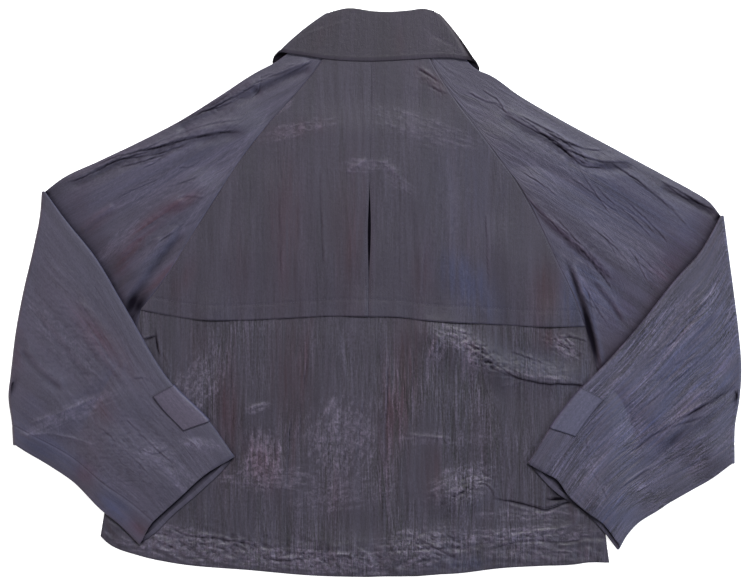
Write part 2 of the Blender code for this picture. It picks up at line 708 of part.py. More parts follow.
COLLAR_FRONT_SHARES = np.linspace(0.0, 1.0, 6)
COLLAR_BACK_SHARES = np.linspace(0.0, 1.0, 13)
COLLAR_TURN_SHARES = (0.2, 0.4, 0.6, 0.8)
STAND_SHARES = (0.0, 0.5, 1.0)
LEAF_SHARES = np.linspace(0.0, 1.0, 7)


def collar_stations():
    """Plan and turn of the flattened collar, from its left front end round the back to its right front end.

    Each station has the fold line, the neck seam and the leaf's edge in plan, the direction out of the
    garment at the turns, and an angle: 0 on the front, half a turn on the back.
    """
    left, right = SIDES["left"], SIDES["right"]

    def front_end(side):
        corner = np.array(FOLD_CENTRE_FRONT, float) + [side["hand"] * FRONT_END_GAP, 0]
        fold = edge(corner, side["fold_front"][::-1], side["collar_top"])
        seam_end = (corner[0], FRONT_NECK_DEPTH + NECK_SEAM_RISE)
        seam = chain(
            edge(seam_end, side["front_neck"][::-1], side["front_raglan_top"]),
            edge(side["front_raglan_top"], [], side["neck_side"]),
        )
        leaf = edge(side["collar_point"], side["leaf_front_edge"][::-1], side["collar_bottom"])
        return [(fold(s), seam(s), leaf(s), np.zeros(2), 0.0) for s in COLLAR_FRONT_SHARES]

    def turn(side):
        top = np.array(side["collar_top"], float)
        foot = np.array(side["collar_bottom"], float)
        slope = unit(foot - top)
        outward = side["hand"] * np.array([-slope[1], slope[0]])
        corner = np.array(side["leaf_corner"], float)
        neck = np.array(side["neck_side"], float)
        return [(top, neck, foot + (corner - foot) * s, outward, math.pi * s) for s in COLLAR_TURN_SHARES]

    fold_back = edge(left["collar_top"], FOLD_BACK, right["collar_top"])
    neck_centre = CENTRE_BACK[0]
    seam_back = chain(
        chain(edge(left["neck_side"], [], left["raglan_top"]), edge(left["raglan_top"], [], neck_centre)),
        chain(edge(neck_centre, [], right["raglan_top"]), edge(right["raglan_top"], [], right["neck_side"])),
    )
    leaf_back = edge(left["leaf_corner"], LEAF_EDGE_BACK, right["leaf_corner"])
    on_back = [(fold_back(s), seam_back(s), leaf_back(s), np.zeros(2), math.pi) for s in COLLAR_BACK_SHARES]
    return front_end(left) + turn(left) + on_back + turn(right)[::-1] + front_end(right)[::-1]


def ring_point(plan, outward, angle, front_height, back_height_here):
    """A point of a flattened ring with half-round turns between its front and its back."""
    radius = (back_height_here - front_height) / 2
    place = plan + outward * radius * math.sin(angle)
    return np.array([*place, front_height + radius * (1.0 - math.cos(angle))])


def collar():
    """Stand from the neck seam to the fold line, and the leaf that rolls over its top."""
    stand_rows = []
    leaf_rows = []
    for fold, seam, leaf_edge, outward, angle in collar_stations():
        up = unit(fold - leaf_edge)

        def stand_at(plan):
            return ring_point(plan, outward, angle, STAND_FRONT_HEIGHT, STAND_BACK_HEIGHT)

        def leaf_at(plan):
            return ring_point(plan, outward, angle, FLOOR, LEAF_BACK_HEIGHT)

        seam_run = unit(fold - seam)
        stand_top = fold - seam_run * STAND_TOP_GAP
        stand_foot = seam + seam_run * STAND_FOOT_GAP
        stand_rows.append([stand_at(stand_foot + (stand_top - stand_foot) * s) for s in STAND_SHARES])
        inner, outer = stand_at(fold), leaf_at(fold)
        middle, half = (inner + outer) / 2, (outer - inner) / 2
        bulge = np.array([*up, 0.0]) * np.linalg.norm(half)
        roll = [middle - half * math.cos(a) + bulge * math.sin(a) for a in ROLL_ANGLES]
        body = [leaf_at(fold + (leaf_edge - fold) * s) for s in LEAF_SHARES]
        leaf_rows.append(roll + body)
    wall("collar_stand", np.array(stand_rows), "collar")
    wall("collar_leaf", np.array(leaf_rows), "collar")


def main():
    for thing in list(bpy.data.objects):
        bpy.data.objects.remove(thing)
    back()
    for name in SIDES:
        front(name)
        cape(name)
        sleeve = Sleeve(name)
        sleeve_back(sleeve)
        sleeve_front(sleeve)
        sleeve_tab(sleeve)
    collar()


main()
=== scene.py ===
"""Looks of a light windbreaker that lies flat with its back up and both sleeves folded back over the body.

Each panel is a thin shell of crinkled nylon on its solid's form. Lengths are in millimetres up to the point
where a mesh is made, and there they become metres. Left and right are the wearer's: the left sleeve is at -X.

A shell starts as a fine grid on the panel's middle surface. Creases given one by one, a fine crinkle along
the grain and the pull of the seams then move it in and out, and the same places colour it: shot nylon turns
reddish or bluish from fold to fold, and highlights and shade are painted into the colour along creases,
crumples and folds.
"""

import math

import bpy
import numpy as np
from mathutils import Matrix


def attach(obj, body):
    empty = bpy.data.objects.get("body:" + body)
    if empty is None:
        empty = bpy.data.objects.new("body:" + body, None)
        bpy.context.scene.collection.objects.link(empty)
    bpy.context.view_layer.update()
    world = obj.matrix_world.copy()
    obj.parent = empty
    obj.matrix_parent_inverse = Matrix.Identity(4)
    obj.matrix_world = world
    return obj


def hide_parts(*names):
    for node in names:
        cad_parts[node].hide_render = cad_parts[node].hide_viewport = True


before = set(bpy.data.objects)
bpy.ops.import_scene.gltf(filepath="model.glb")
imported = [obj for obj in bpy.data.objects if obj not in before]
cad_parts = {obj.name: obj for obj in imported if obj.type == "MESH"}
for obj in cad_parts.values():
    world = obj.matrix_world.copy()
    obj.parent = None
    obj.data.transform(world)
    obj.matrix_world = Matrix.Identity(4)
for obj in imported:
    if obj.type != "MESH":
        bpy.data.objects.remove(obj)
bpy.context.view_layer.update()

MM = 0.001

# Sizes shared with the solids
WALL = 1.2
SEAM = 0.3
LAYER = WALL + SEAM
FLOOR = WALL / 2
CENTRE_BACK = [(-3, 308), (-6, 140), (-7.7, -28), (-8, -340)]
FRONT_OVERLAP_EDGES = {"left": 20, "right": -14}
OVERLAP_MARGIN = 4
OVERLAP_RISE = {"half_width": 130, "fade": 90, "top": 235, "top_fade": 45}
FRONT_STRIP = 50
FRONT_STRIP_MARGIN = 10
FRONT_NECK_DEPTH = 180
BACK_LOFT = 0.7
CAPE_LOFT = 0.6
COLLAR_PRESS = {"back": 0.6, "cape": 0.7}
CAPE_EDGE_LIFT = 1.4
CAPE_EDGE_SHARE = 0.25
VENT_TOP = 140
VENT_FOOT = 9
VENT_HALF_WIDTH = 1.75
SLEEVE_GAP = 1.8
ELBOW_RADIUS = 1.5
UPPER_LOFT = 2.6
LOWER_LOFT = 1.8
ELBOW_FADE = 0.2
SEAM_OFFSET = {"raglan": 8, "elbow": 22, "cuff": 30}
CLEAR_MARGIN = 4
CLEAR_FADE = 30
DROOP_FADE = 45
TAB_LENGTH = 61
TAB_SKEW = 13
TAB_LIFT = LAYER + SEAM
COLLAR_LIFT = 1.5
COLLAR_ZONE = {"x": 2, "y": 280, "half_width": 135, "half_length": 150, "fade": 0.35}
LEAF_BACK_HEIGHT = 7.2
STAND_BACK_HEIGHT = 5.1
STAND_FRONT_HEIGHT = FLOOR + LAYER
STAND_TOP_GAP = WALL * 1.5
NECK_SEAM_RISE = 6

# Corners and sewn edges of each side. They are those of the solids, apart from the shoulders, the right hem,
# the collar's ends and the right cuff's lower layer, which are moved by up to 7 mm to follow the photo. A row
# is a point (x, y) between the corners that the comment names.
SIDES = {
    "left": {
        "hand": -1,
        "neck_side": (-86, 302),
        "raglan_top": (-48, 306),
        "front_raglan_top": (-86, 266),
        "cape_corner": (-281, -20),
        "armpit": (-291, -68),
        "hem_corner": (-329, -291),
        "tip": (-395.5, 120.5),
        "elbow": (-430, -181),
        "cuff_inner": (-169, -196.5),
        # raglan_top to cape_corner
        "raglan": [
            (-63.5, 278.5), (-91, 243), (-132, 197.5), (-164, 156), (-195.5, 107), (-223, 64), (-252, 17),
        ],
        # front_raglan_top to armpit
        "front_raglan": [(-105, 235), (-140, 189), (-195, 107), (-250, 18), (-275, -26)],
        # front_raglan_top to the front edge
        "front_neck": [(-66, 222), (-50, 205), (-22, 187)],
        # armpit to hem_corner
        "side_seam": [(-312, -190)],
        # hem_corner to the centre back
        "hem": [(-322, -298), (-281, -315), (-244, -323), (-150, -332), (-72, -338.5)],
        # cape_corner to the centre back
        "cape_hem": [(-251, -26), (-209, -32), (-165, -32.5), (-103, -30), (-59, -27.7)],
        # neck_side to tip
        "shoulder": [
            (-119, 276), (-140, 265), (-186, 235.2), (-234, 205.2), (-282, 180.2),
            (-330, 157.4), (-377, 134.8),
        ],
        # tip to elbow
        "crease": [
            (-397.5, 95), (-405, 56), (-418, 0), (-426, -42), (-433, -99), (-435.5, -122), (-431.5, -155),
        ],
        # armpit to elbow
        "underarm": [(-360, -108)],
        # tip to cuff_inner
        "inner_edge": [(-372, 88), (-336, 43), (-301, -15.5), (-242.5, -111), (-198.5, -155.5)],
        # elbow to the cuff's outer corner
        "outer_edge": [(-421, -187), (-399.5, -200), (-363, -224), (-326, -259.5), (-306, -275.5)],
        # cuff_inner to the outer corner, first the layer on top and then the one under it
        "cuff_front": [(-201, -215.5), (-238, -248.5), (-257, -265.5), (-266, -274)],
        "cuff_back": [(-180, -209.5), (-213, -241), (-246, -269.5), (-261, -285)],
        "cuff_corners": {"front": (-281, -300), "back": (-281, -300)},
        "tab_start": 0.711,
        "collar_top": (-50, 337.5),
        "collar_bottom": (-123, 278),
        "leaf_corner": (-111.5, 288.5),
        "collar_point": (-46, 151),
        "leaf_front_edge": [(-113, 238), (-88, 190)],
        "fold_front": [(-60, 290), (-46, 240)],
    },
    "right": {
        "hand": 1,
        "neck_side": (95, 297),
        "raglan_top": (55, 306),
        "front_raglan_top": (93, 262),
        "cape_corner": (252, -40),
        "armpit": (267, -93),
        "hem_corner": (281, -323),
        "tip": (414.5, 91.5),
        "elbow": (427.5, -203),
        "cuff_inner": (184, -204.5),
        "raglan": [
            (66, 280), (88, 243), (126, 192), (155, 153), (174, 127),
            (190, 98), (205, 66), (220, 34), (236, 1),
        ],
        "front_raglan": [(108, 228), (133, 189.5), (172, 127), (205, 66), (221, 32), (250, -40)],
        "front_neck": [(74, 220), (50, 200), (28, 188)],
        "side_seam": [(270.5, -160), (275.5, -280)],
        "hem": [(254, -323), (241, -325), (198, -327), (153, -329.5), (97, -336), (54, -337.5)],
        "cape_hem": [(201, -40.5), (143.5, -37.5), (57.5, -32.5), (30, -29)],
        "shoulder": [
            (121, 268), (138, 260.5), (169, 238.5), (218, 209.5), (287, 172),
            (358, 133.7), (378, 122.8), (402, 107.2),
        ],
        "crease": [(421, 42), (427, -3.5), (432, -44), (435.5, -96), (433.5, -125), (428, -159)],
        "underarm": [(345, -128)],
        "inner_edge": [(388.5, 46.5), (360, 14.5), (317, -40), (268, -94.5), (251, -111.5), (216.5, -154.5)],
        "outer_edge": [(401, -222.5), (372.5, -238), (341, -256.5), (310, -277), (300, -287.5)],
        "cuff_front": [(205, -216), (215, -221), (233, -244), (256, -263.5), (272, -275)],
        "cuff_back": [(219.5, -240.5), (242.5, -255.5), (270, -281)],
        "cuff_corners": {"front": (291, -299.5), "back": (289.5, -306)},
        "tab_start": 0.705,
        "collar_top": (71, 337.5),
        "collar_bottom": (126, 270.5),
        "leaf_corner": (108, 279.5),
        "collar_point": (52, 151),
        "leaf_front_edge": [(116, 232), (92, 188)],
        "fold_front": [(73, 288), (55, 240)],
    },
}
# The collar on the back; its fold line is moved by about 1 mm for the same reason
FOLD_BACK = [(-36, 340.6), (0, 336.9), (15, 336.3), (41, 338), (60, 340)]
LEAF_EDGE_BACK = [(-85, 284.6), (-52, 279.7), (0, 277.8), (45.5, 280), (93, 281.5)]
FOLD_CENTRE_FRONT = (3, 212)
FRONT_END_GAP = 4

# Soft folds of each layer, as in the solids: two ends, height and half width
FOLD_COLUMNS = ("x0", "y0", "x1", "y1", "height", "half_width")
FOLDS = {
    "back": [
        (74, -50, 150, -92, 3.4, 20),
        (150, -92, 250, -112, 4.0, 19),
        (86, -240, 160, -252, 2.6, 19),
        (160, -252, 236, -250, 3.0, 18),
        (-190, -300, -20, -312, 2.4, 22),
        (20, -310, 150, -300, 2.4, 22),
        (-150, -150, -120, -240, 1.4, 30),
    ],
    "cape": [
        (-40, 130, -60, 20, 1.0, 30),
        (60, 150, 100, 20, 1.0, 34),
        (-130, 120, -190, 0, 1.0, 34),
        (150, 60, 200, -20, 1.2, 28),
    ],
    "left_upper": [
        (-150, 205, -340, 128, 2.8, 24),
        (-215, 125, -300, 40, 2.8, 24),
        (-120, 245, -225, 190, 1.6, 20),
    ],
    "right_upper": [
        (110, 215, 280, 135, 2.8, 24),
        (280, 148, 385, 70, 2.6, 22),
        (195, 130, 300, 30, 2.6, 24),
    ],
    "left_lower": [
        (-395, 20, -300, -130, 1.6, 26),
        (-405, -120, -260, -225, 1.5, 26),
    ],
    "right_lower": [
        (400, -20, 290, -160, 1.6, 26),
        (400, -150, 265, -240, 1.5, 26),
    ],
}

# Creases: depth (a ridge is negative), half width, strands side by side, distance between strands, and the
# points of the path
CREASE_COLUMNS = ("depth", "half_width", "strands", "spread", "path")
CREASES = {
    "back": [
        (1.2, 1.4, 1, 0, [(106, -60), (116, -64), (126, -67)]),
        (1.2, 1.4, 2, 4, [(130, -82), (144, -86), (158, -95), (176, -104)]),
        (-0.7, 1.4, 1, 0, [(112, -70), (124, -78), (134, -80), (146, -92)]),
        (-0.6, 1.3, 1, 0, [(160, -91), (180, -99), (207, -103), (247, -107)]),
        (0.9, 1.2, 3, 4, [(108, -56), (122, -66), (136, -76), (150, -84)]),
        (0.8, 1.3, 1, 0, [(160, -69.5), (172, -73.5), (184, -78), (194, -82), (204, -87)]),
        (-0.6, 1.3, 1, 0, [(151, -114), (165, -110), (184, -106)]),
        (-1.2, 3.6, 1, 0, [(80, -50), (76, -62), (70, -78)]),
        (-0.9, 3.2, 1, 0, [(86, -44), (94, -48), (98, -58)]),
        (1.0, 1.3, 2, 3, [(98, -46), (106, -49), (114, -51)]),
        (-0.7, 1.4, 1, 0, [(112, -82), (122, -86), (133, -89)]),
        (0.8, 1.3, 3, 4, [(213, -52), (223, -60), (233, -68)]),
        (0.8, 1.3, 2, 3, [(226, -55), (233, -60), (239, -66)]),
        (1.3, 1.8, 1, 0, [(216, -55), (231, -53), (256, -59)]),
        (1.0, 1.8, 1, 0, [(219, -62), (232, -66), (241, -72)]),
        (1.2, 1.4, 1, 0, [(184, -252), (208, -257), (223, -252)]),
        (-0.8, 1.5, 1, 0, [(150, -252), (180, -260), (208, -266), (226, -258), (240, -256)]),
        (1.4, 1.4, 2, 4, [(204, -247), (218, -248), (233, -246)]),
        (1.2, 1.5, 4, 6, [(78, -246), (99, -242), (112, -232), (132, -229), (147, -247)]),
        (-1.2, 2.4, 1, 0, [(129, -284), (150, -292), (168, -292), (192, -289), (216, -286), (240, -280)]),
        (-0.9, 1.8, 1, 0, [(243, -256), (244, -268), (241, -279)]),
        (-0.8, 1.4, 1, 0, [(254, -294), (254.5, -308), (254, -322)]),
        (1.5, 2.2, 1, 0, [(30, -288), (60, -299), (84, -311), (104, -322)]),
        (1.2, 2.2, 1, 0, [(132, -308), (156, -302), (192, -297), (222, -299), (254, -297)]),
        (1.4, 2.4, 1, 0, [(-246, -283), (-222, -290), (-198, -293), (-180, -297), (-150, -299)]),
        (1.2, 2.0, 1, 0, [(-160, -320), (-138, -319), (-108, -321), (-80, -318)]),
        (1.3, 2.2, 1, 0, [(-126, -305), (-96, -311), (-60, -313), (-20, -318)]),
        (2.0, 1.4, 1, 0, [(-278, -56), (-270, -53), (-261, -51)]),
        (2.2, 1.4, 1, 0, [(-263, -44), (-261, -60), (-257, -76)]),
        (1.1, 1.8, 1, 0, [(-256, -70), (-251, -80), (-247, -90)]),
        (1.2, 1.6, 1, 0, [(-171, -80), (-171, -120), (-168, -165)]),
        (1.3, 1.6, 1, 0, [(-80, -70), (-86, -120), (-90, -175)]),
        (1.2, 1.6, 1, 0, [(-14, -125), (-18, -165), (-22, -205)]),
        (1.1, 1.6, 1, 0, [(-100, -150), (-104, -190), (-106, -235)]),
        (0.9, 1.6, 1, 0, [(44, -60), (46, -120), (42, -170)]),
        (1.2, 1.8, 1, 0, [(18, -60), (14, -130), (12, -210)]),
        (-0.7, 1.8, 1, 0, [(-150, -141), (-141, -137), (-133, -134)]),
        (-0.6, 1.6, 1, 0, [(30, -170), (60, -174), (90, -176)]),
        (0.8, 2.0, 1, 0, [(-165, -228), (-130, -234), (-100, -236)]),
    ],
    "cape": [
        (1.5, 2.0, 1, 0, [(50, 268), (60, 263), (72, 256), (85, 249)]),
        (1.4, 2.0, 1, 0, [(66, 247), (78, 240), (88, 238)]),
        (0.8, 2.0, 1, 0, [(-116, 140), (-114, 80), (-111, 0)]),
        (0.7, 2.0, 1, 0, [(-66, 150), (-64, 90), (-62, 30)]),
        (0.6, 1.8, 1, 0, [(60, 60), (58, 20), (55, -20)]),
        (0.6, 1.8, 1, 0, [(132, 100), (134, 50), (136, 0)]),
        (-0.4, 1.8, 2, 5, [(-33, 143), (-20, 152), (-8, 159)]),
        (-0.4, 1.8, 2, 5, [(-6, 158), (10, 154), (32, 136)]),
    ],
    "left_upper": [
        (2.6, 6.0, 1, 0, [(-76, 272), (-100, 264), (-124, 252), (-150, 240)]),
        (1.0, 1.5, 3, 3, [(-71, 278), (-96, 270), (-121, 260), (-147, 248)]),
        (3.0, 7.0, 1, 0, [(-136, 248), (-171, 230), (-200, 216), (-240, 198)]),
        (1.3, 1.5, 5, 3, [(-140, 250), (-171, 234), (-186, 226), (-219, 212), (-240, 201)]),
        (3.4, 7.0, 1, 0, [
            (-150, 196), (-195, 190), (-234, 180), (-270, 167), (-312, 155), (-345, 138), (-378, 128),
        ]),
        (1.4, 1.5, 6, 3, [
            (-150, 196), (-195, 191), (-234, 182), (-270, 169), (-312, 157), (-345, 140), (-378, 130),
        ]),
        (1.2, 1.5, 4, 4, [(-228, 178), (-252, 166), (-276, 158), (-306, 150)]),
        (0.8, 1.8, 1, 0, [(-204, 114), (-222, 116), (-240, 112)]),
        (-1.4, 6.5, 1, 0, [(-222, 106), (-243, 100), (-264, 85), (-282, 67), (-304, 36)]),
        (3.2, 6.5, 1, 0, [(-230, 76), (-244, 60), (-262, 36), (-277, 14), (-291, -7), (-297, -16)]),
        (-1.4, 5.0, 1, 0, [(-250, 66), (-268, 42), (-286, 18), (-302, -4)]),
        (0.9, 1.4, 2, 5, [(-202, 92), (-224, 84), (-248, 68), (-266, 60)]),
        (-1.2, 4.0, 1, 0, [(-309, 103), (-330, 88), (-350, 70)]),
        (0.8, 1.4, 2, 5, [(-258, 138), (-282, 126), (-306, 116)]),
        (0.7, 1.4, 2, 6, [(-196, 160), (-216, 152), (-236, 150)]),
        (0.7, 1.4, 2, 6, [(-212, 138), (-236, 130), (-250, 126)]),
        (0.8, 1.4, 1, 0, [(-136, 262), (-142, 238), (-150, 232)]),
    ],
    "right_upper": [
        (1.0, 1.5, 4, 4, [(110, 240), (126, 232), (144, 226), (160, 214)]),
        (2.3, 7.0, 1, 0, [(150, 214), (183, 196), (216, 178), (240, 162)]),
        (2.4, 6.0, 1, 0, [(228, 166), (250, 154), (280, 152), (310, 152)]),
        (1.5, 1.5, 6, 4, [(156, 213), (183, 199), (216, 181), (234, 170), (264, 158), (306, 155)]),
        (1.3, 1.5, 4, 4, [(216, 180), (234, 164), (250, 152), (272, 150)]),
        (1.0, 1.4, 3, 4, [(200, 196), (225, 182), (250, 172)]),
        (1.3, 1.5, 3, 4, [(279, 157), (303, 142), (324, 127), (339, 115), (357, 97), (378, 76)]),
        (2.0, 5.0, 1, 0, [(340, 130), (366, 118), (390, 106), (412, 94)]),
        (1.1, 1.5, 4, 4, [(340, 134), (366, 122), (390, 108), (414, 96)]),
        (2.0, 4.5, 1, 0, [(180, 114), (210, 82), (246, 50), (288, 12)]),
        (1.1, 1.5, 4, 4, [(180, 116), (192, 100), (210, 85), (228, 67), (246, 52), (264, 34), (288, 14)]),
        (0.8, 1.5, 2, 5, [(176, 146), (198, 130), (220, 116)]),
        (4.0, 4.0, 1, 0, [(233, 34), (244, 2), (251, -23), (257, -42), (264, -70), (268, -92)]),
        (0.8, 1.4, 3, 7, [(232, 140), (262, 118), (292, 96)]),
        (0.8, 1.4, 3, 7, [(270, 120), (300, 96), (334, 64)]),
        (0.8, 1.4, 3, 7, [(248, 88), (280, 60), (310, 28)]),
        (0.8, 1.4, 2, 6, [(300, 110), (330, 84), (352, 58)]),
        (0.9, 1.4, 4, 7, [(236, 64), (260, 36), (284, 4)]),
        (0.9, 1.4, 4, 6, [(246, 14), (262, -12), (278, -36)]),
        (0.9, 1.4, 3, 6, [(300, 54), (318, 36), (336, 20)]),
        (1.6, 3.6, 1, 0, [(262, 14), (282, -10), (300, -36)]),
    ],
    "left_lower": [
        (1.1, 5.0, 1, 0, [(-424, -66), (-402, -90), (-372, -116)]),
        (0.7, 5.0, 1, 0, [(-405, -25), (-376, -58), (-340, -104)]),
        (-0.9, 4.5, 1, 0, [(-356, -10), (-324, -56), (-300, -96)]),
        (0.5, 4.0, 1, 0, [(-350, -50), (-322, -86), (-296, -112)]),
        (-0.9, 2.4, 1, 0, [(-416, -160), (-366, -141), (-324, -124), (-306, -117)]),
        (-0.8, 2.2, 1, 0, [(-430, -172), (-380, -172), (-330, -186)]),
        (0.9, 1.8, 1, 0, [(-290, -103), (-274, -102), (-262, -108)]),
        (0.9, 1.8, 1, 0, [(-280, -188), (-264, -192), (-250, -186)]),
        (-0.8, 1.8, 1, 0, [(-228, -176), (-210, -184), (-192, -182)]),
        (0.7, 1.8, 1, 0, [(-330, -160), (-300, -188), (-270, -216)]),
        (0.7, 1.8, 1, 0, [(-300, -150), (-270, -180), (-240, -205)]),
        (2.4, 2.0, 1, 0, [(-442, -132), (-438, -118), (-431, -105)]),
    ],
    "right_lower": [
        (2.2, 8.0, 1, 0, [(430, -104), (384, -138), (346, -188)]),
        (1.2, 7.0, 1, 0, [(424, -128), (396, -150), (360, -170), (320, -206)]),
        (1.6, 7.0, 1, 0, [(408, -20), (370, -66), (330, -108)]),
        (1.2, 2.2, 3, 9, [(404, 0), (368, -44), (322, -92)]),
        (1.1, 2.2, 3, 9, [(420, -50), (370, -96), (318, -140)]),
        (1.4, 2.4, 3, 9, [(430, -112), (385, -140), (340, -166), (300, -196)]),
        (1.0, 2.2, 3, 8, [(428, -160), (380, -184), (330, -210), (285, -240)]),
        (-0.9, 2.2, 2, 9, [(390, -30), (340, -88), (290, -142)]),
        (-0.8, 2.0, 2, 9, [(400, -130), (350, -156), (310, -180)]),
        (0.8, 1.8, 1, 0, [(250, -170), (258, -206), (280, -250)]),
        (2.4, 2.0, 1, 0, [(440, -140), (435, -128), (429, -116)]),
    ],
    "collar": [
        (-0.2, 2.4, 1, 0, [(66, 306), (84, 298), (100, 290)]),
        (0.3, 3.0, 1, 0, [(-96, 300), (-60, 318), (-30, 326)]),
    ],
}

# Sharp drops, below which the cloth lies lower: depth, reach below and the points of the path
DROP_COLUMNS = ("depth", "reach", "path")
DROPS = {
    "back": [
        (2.2, 16, [
            (146, -89), (160, -95), (174, -101.3), (192, -105.5), (207, -107.3), (228, -109), (252, -110.5),
        ]),
        (1.9, 14, [(136, -243), (158, -247), (182, -253), (208, -259), (223, -253), (236, -250)]),
    ],
}

# Places of the shot colours, of painted highlights (SHINE) and of painted shade (SHADE) in the cloth's
# colour:
# centre, half length along the turn, half width, turn in degrees and amount
ZONE_COLUMNS = ("x", "y", "half_length", "half_width", "turn", "amount")
RED = {
    "back": [
        (-177, -145, 70, 15, 90, 0.8), (-135, -200, 30, 26, 90, 0.7), (-100, -100, 70, 22, 90, 0.6),
        (30, -116, 92, 19, 82, 1.0), (-88, -120, 85, 5, 83, 0.9),
        (69, -209, 32, 11, 90, 0.6), (-45, -245, 40, 14, 90, 0.3),
        (-210, -60, 30, 14, 90, 0.3), (130, -160, 40, 10, 90, 0.25), (206, -54, 16, 14, 90, 0.7),
        (116, -64, 12, 6, -40, 0.6),
    ],
    "cape": [
        (-108, 72, 80, 19, 90, 0.75), (-30, 68, 78, 19, 90, 0.65), (-231, 15, 24, 11, 60, 0.5),
        (-96, 195, 44, 11, 12, 0.4), (57, 24, 34, 13, 90, 0.5), (70, 254, 24, 9, -35, 0.6),
        (207, 2, 30, 16, 90, 1.2), (-160, 30, 50, 14, 90, 0.3), (110, 60, 60, 12, 90, 0.2),
    ],
    "left_upper": [
        (-238, 104, 26, 8, 28, 1.3), (-268, 82, 24, 8, 40, 1.3), (-292, 50, 30, 8, 55, 1.3),
        (-330, 88, 24, 8, 40, 0.6),
        (-255, 19, 34, 5, 46, 1.0),
    ],
    # the first of these is a brown tint painted as shade beside the folded sleeve
    "right_upper": [(354, 36, 44, 18, 52, 0.8), (236, 62, 64, 9, -43, 0.4), (298, -20, 30, 14, 50, 0.5)],
    "left_lower": [
        (-327, -53, 54, 15, -52, 0.75), (-325, -142, 17, 12, -52, 0.6), (-347, -216, 12, 11, -40, 1.0),
        (-281, -281, 16, 10, -45, 1.0), (-430, -75, 36, 8, 85, 0.5),
    ],
    "right_lower": [(375, -137, 22, 11, 38, 0.7), (415, -89, 14, 7, 38, 0.5), (330, -130, 40, 8, 44, 0.2)],
    "collar": [(30, 300, 22, 9, 90, 0.3), (-60, 312, 30, 9, 60, 0.3)],
}
BLUE = {
    "back": [(105, -324, 26, 8, 0, 0.6), (180, -293, 34, 7, 0, 0.4), (185, -84, 56, 18, -14, 0.4)],
    "cape": [(110, 120, 80, 50, 80, 0.2), (112, 10, 44, 22, -50, 0.95), (236, -12, 34, 13, 98, 0.9)],
    "left_upper": [(-250, 150, 90, 24, 25, 0.2)],
    "right_upper": [(290, 110, 110, 44, -30, 0.4), (262, 12, 66, 26, -54, 0.5)],
    "left_lower": [
        (-385, -192, 60, 13, -30, 0.4), (-312, -255, 26, 13, -42, 0.6), (-415, -150, 34, 14, 80, 0.25),
    ],
    "right_lower": [(350, -110, 150, 80, 44, 0.65), (285, -262, 30, 22, 40, 0.5)],
    "collar": [],
}
SHINE = {
    "back": [
        (-216, -112, 40, 24, 60, 0.6), (-40, -172, 46, 40, 70, 0.75), (-200, -308, 100, 16, -7, 1.0),
        (-60, -322, 90, 15, -4, 1.0), (50, -306, 48, 22, 8, 0.9), (178, -291, 80, 12, 3, 0.8),
        (105, -228, 36, 22, 25, 0.8), (93, -52, 20, 14, -25, 0.75), (76, -68, 18, 10, 70, 0.6),
        (122, -80, 16, 9, -30, 0.55), (200, -100, 46, 4, -8, 0.5), (228, -65, 18, 10, -35, 0.8),
        (-142, -137, 14, 6, 20, 0.7), (-120, -222, 60, 14, 0, 0.6), (-134, -200, 34, 24, 90, 1.0),
        (185, -266, 52, 7, 0, 0.6), (-230, -290, 40, 10, -10, 0.8), (90, -175, 60, 8, 0, 0.3),
        (-40, -240, 60, 20, 10, 0.4), (-262, -270, 14, 26, 0, 0.4), (200, -312, 60, 10, 0, 0.5),
    ],
    "cape": [
        (60, 196, 62, 15, -18, 0.32), (-96, 196, 44, 8, 14, 0.45), (-8, 153, 34, 8, 0, 0.4),
        (90, 110, 70, 22, 80, 0.12), (110, 12, 44, 18, -50, 0.1),
        (-112, 222, 16, 6, 35, 0.5), (30, 132, 24, 8, -30, 0.3),
        (236, -14, 30, 10, 98, 0.14),
    ],
    "left_upper": [
        (-178, 148, 90, 4, 54.5, 0.25), (-250, 132, 60, 18, 25, 0.2), (-190, 150, 40, 20, 45, 0.2),
        (-310, 60, 40, 8, 45, 0.25),
    ],
    "right_upper": [(215, 150, 44, 26, -35, 0.25), (300, 60, 60, 26, -40, 0.25), (240, 20, 30, 8, -60, 0.3)],
    "left_lower": [
        (-208, -181, 24, 8, -10, 0.5), (-360, -142, 56, 10, 24, 0.35), (-262, -190, 22, 14, 0, 0.25),
        (-370, -60, 70, 14, -48, 0.2), (-232, -220, 24, 14, -40, 0.3),
    ],
    "right_lower": [
        (350, -110, 130, 70, 44, 0.14), (330, -60, 80, 14, 47, 0.35),
        (300, -160, 70, 16, 47, 0.3), (370, -200, 70, 10, 30, 0.25),
        (254, -236, 26, 18, -45, 0.3),
    ],
    "collar": [(80, 300, 24, 8, -35, 0.12)],
}
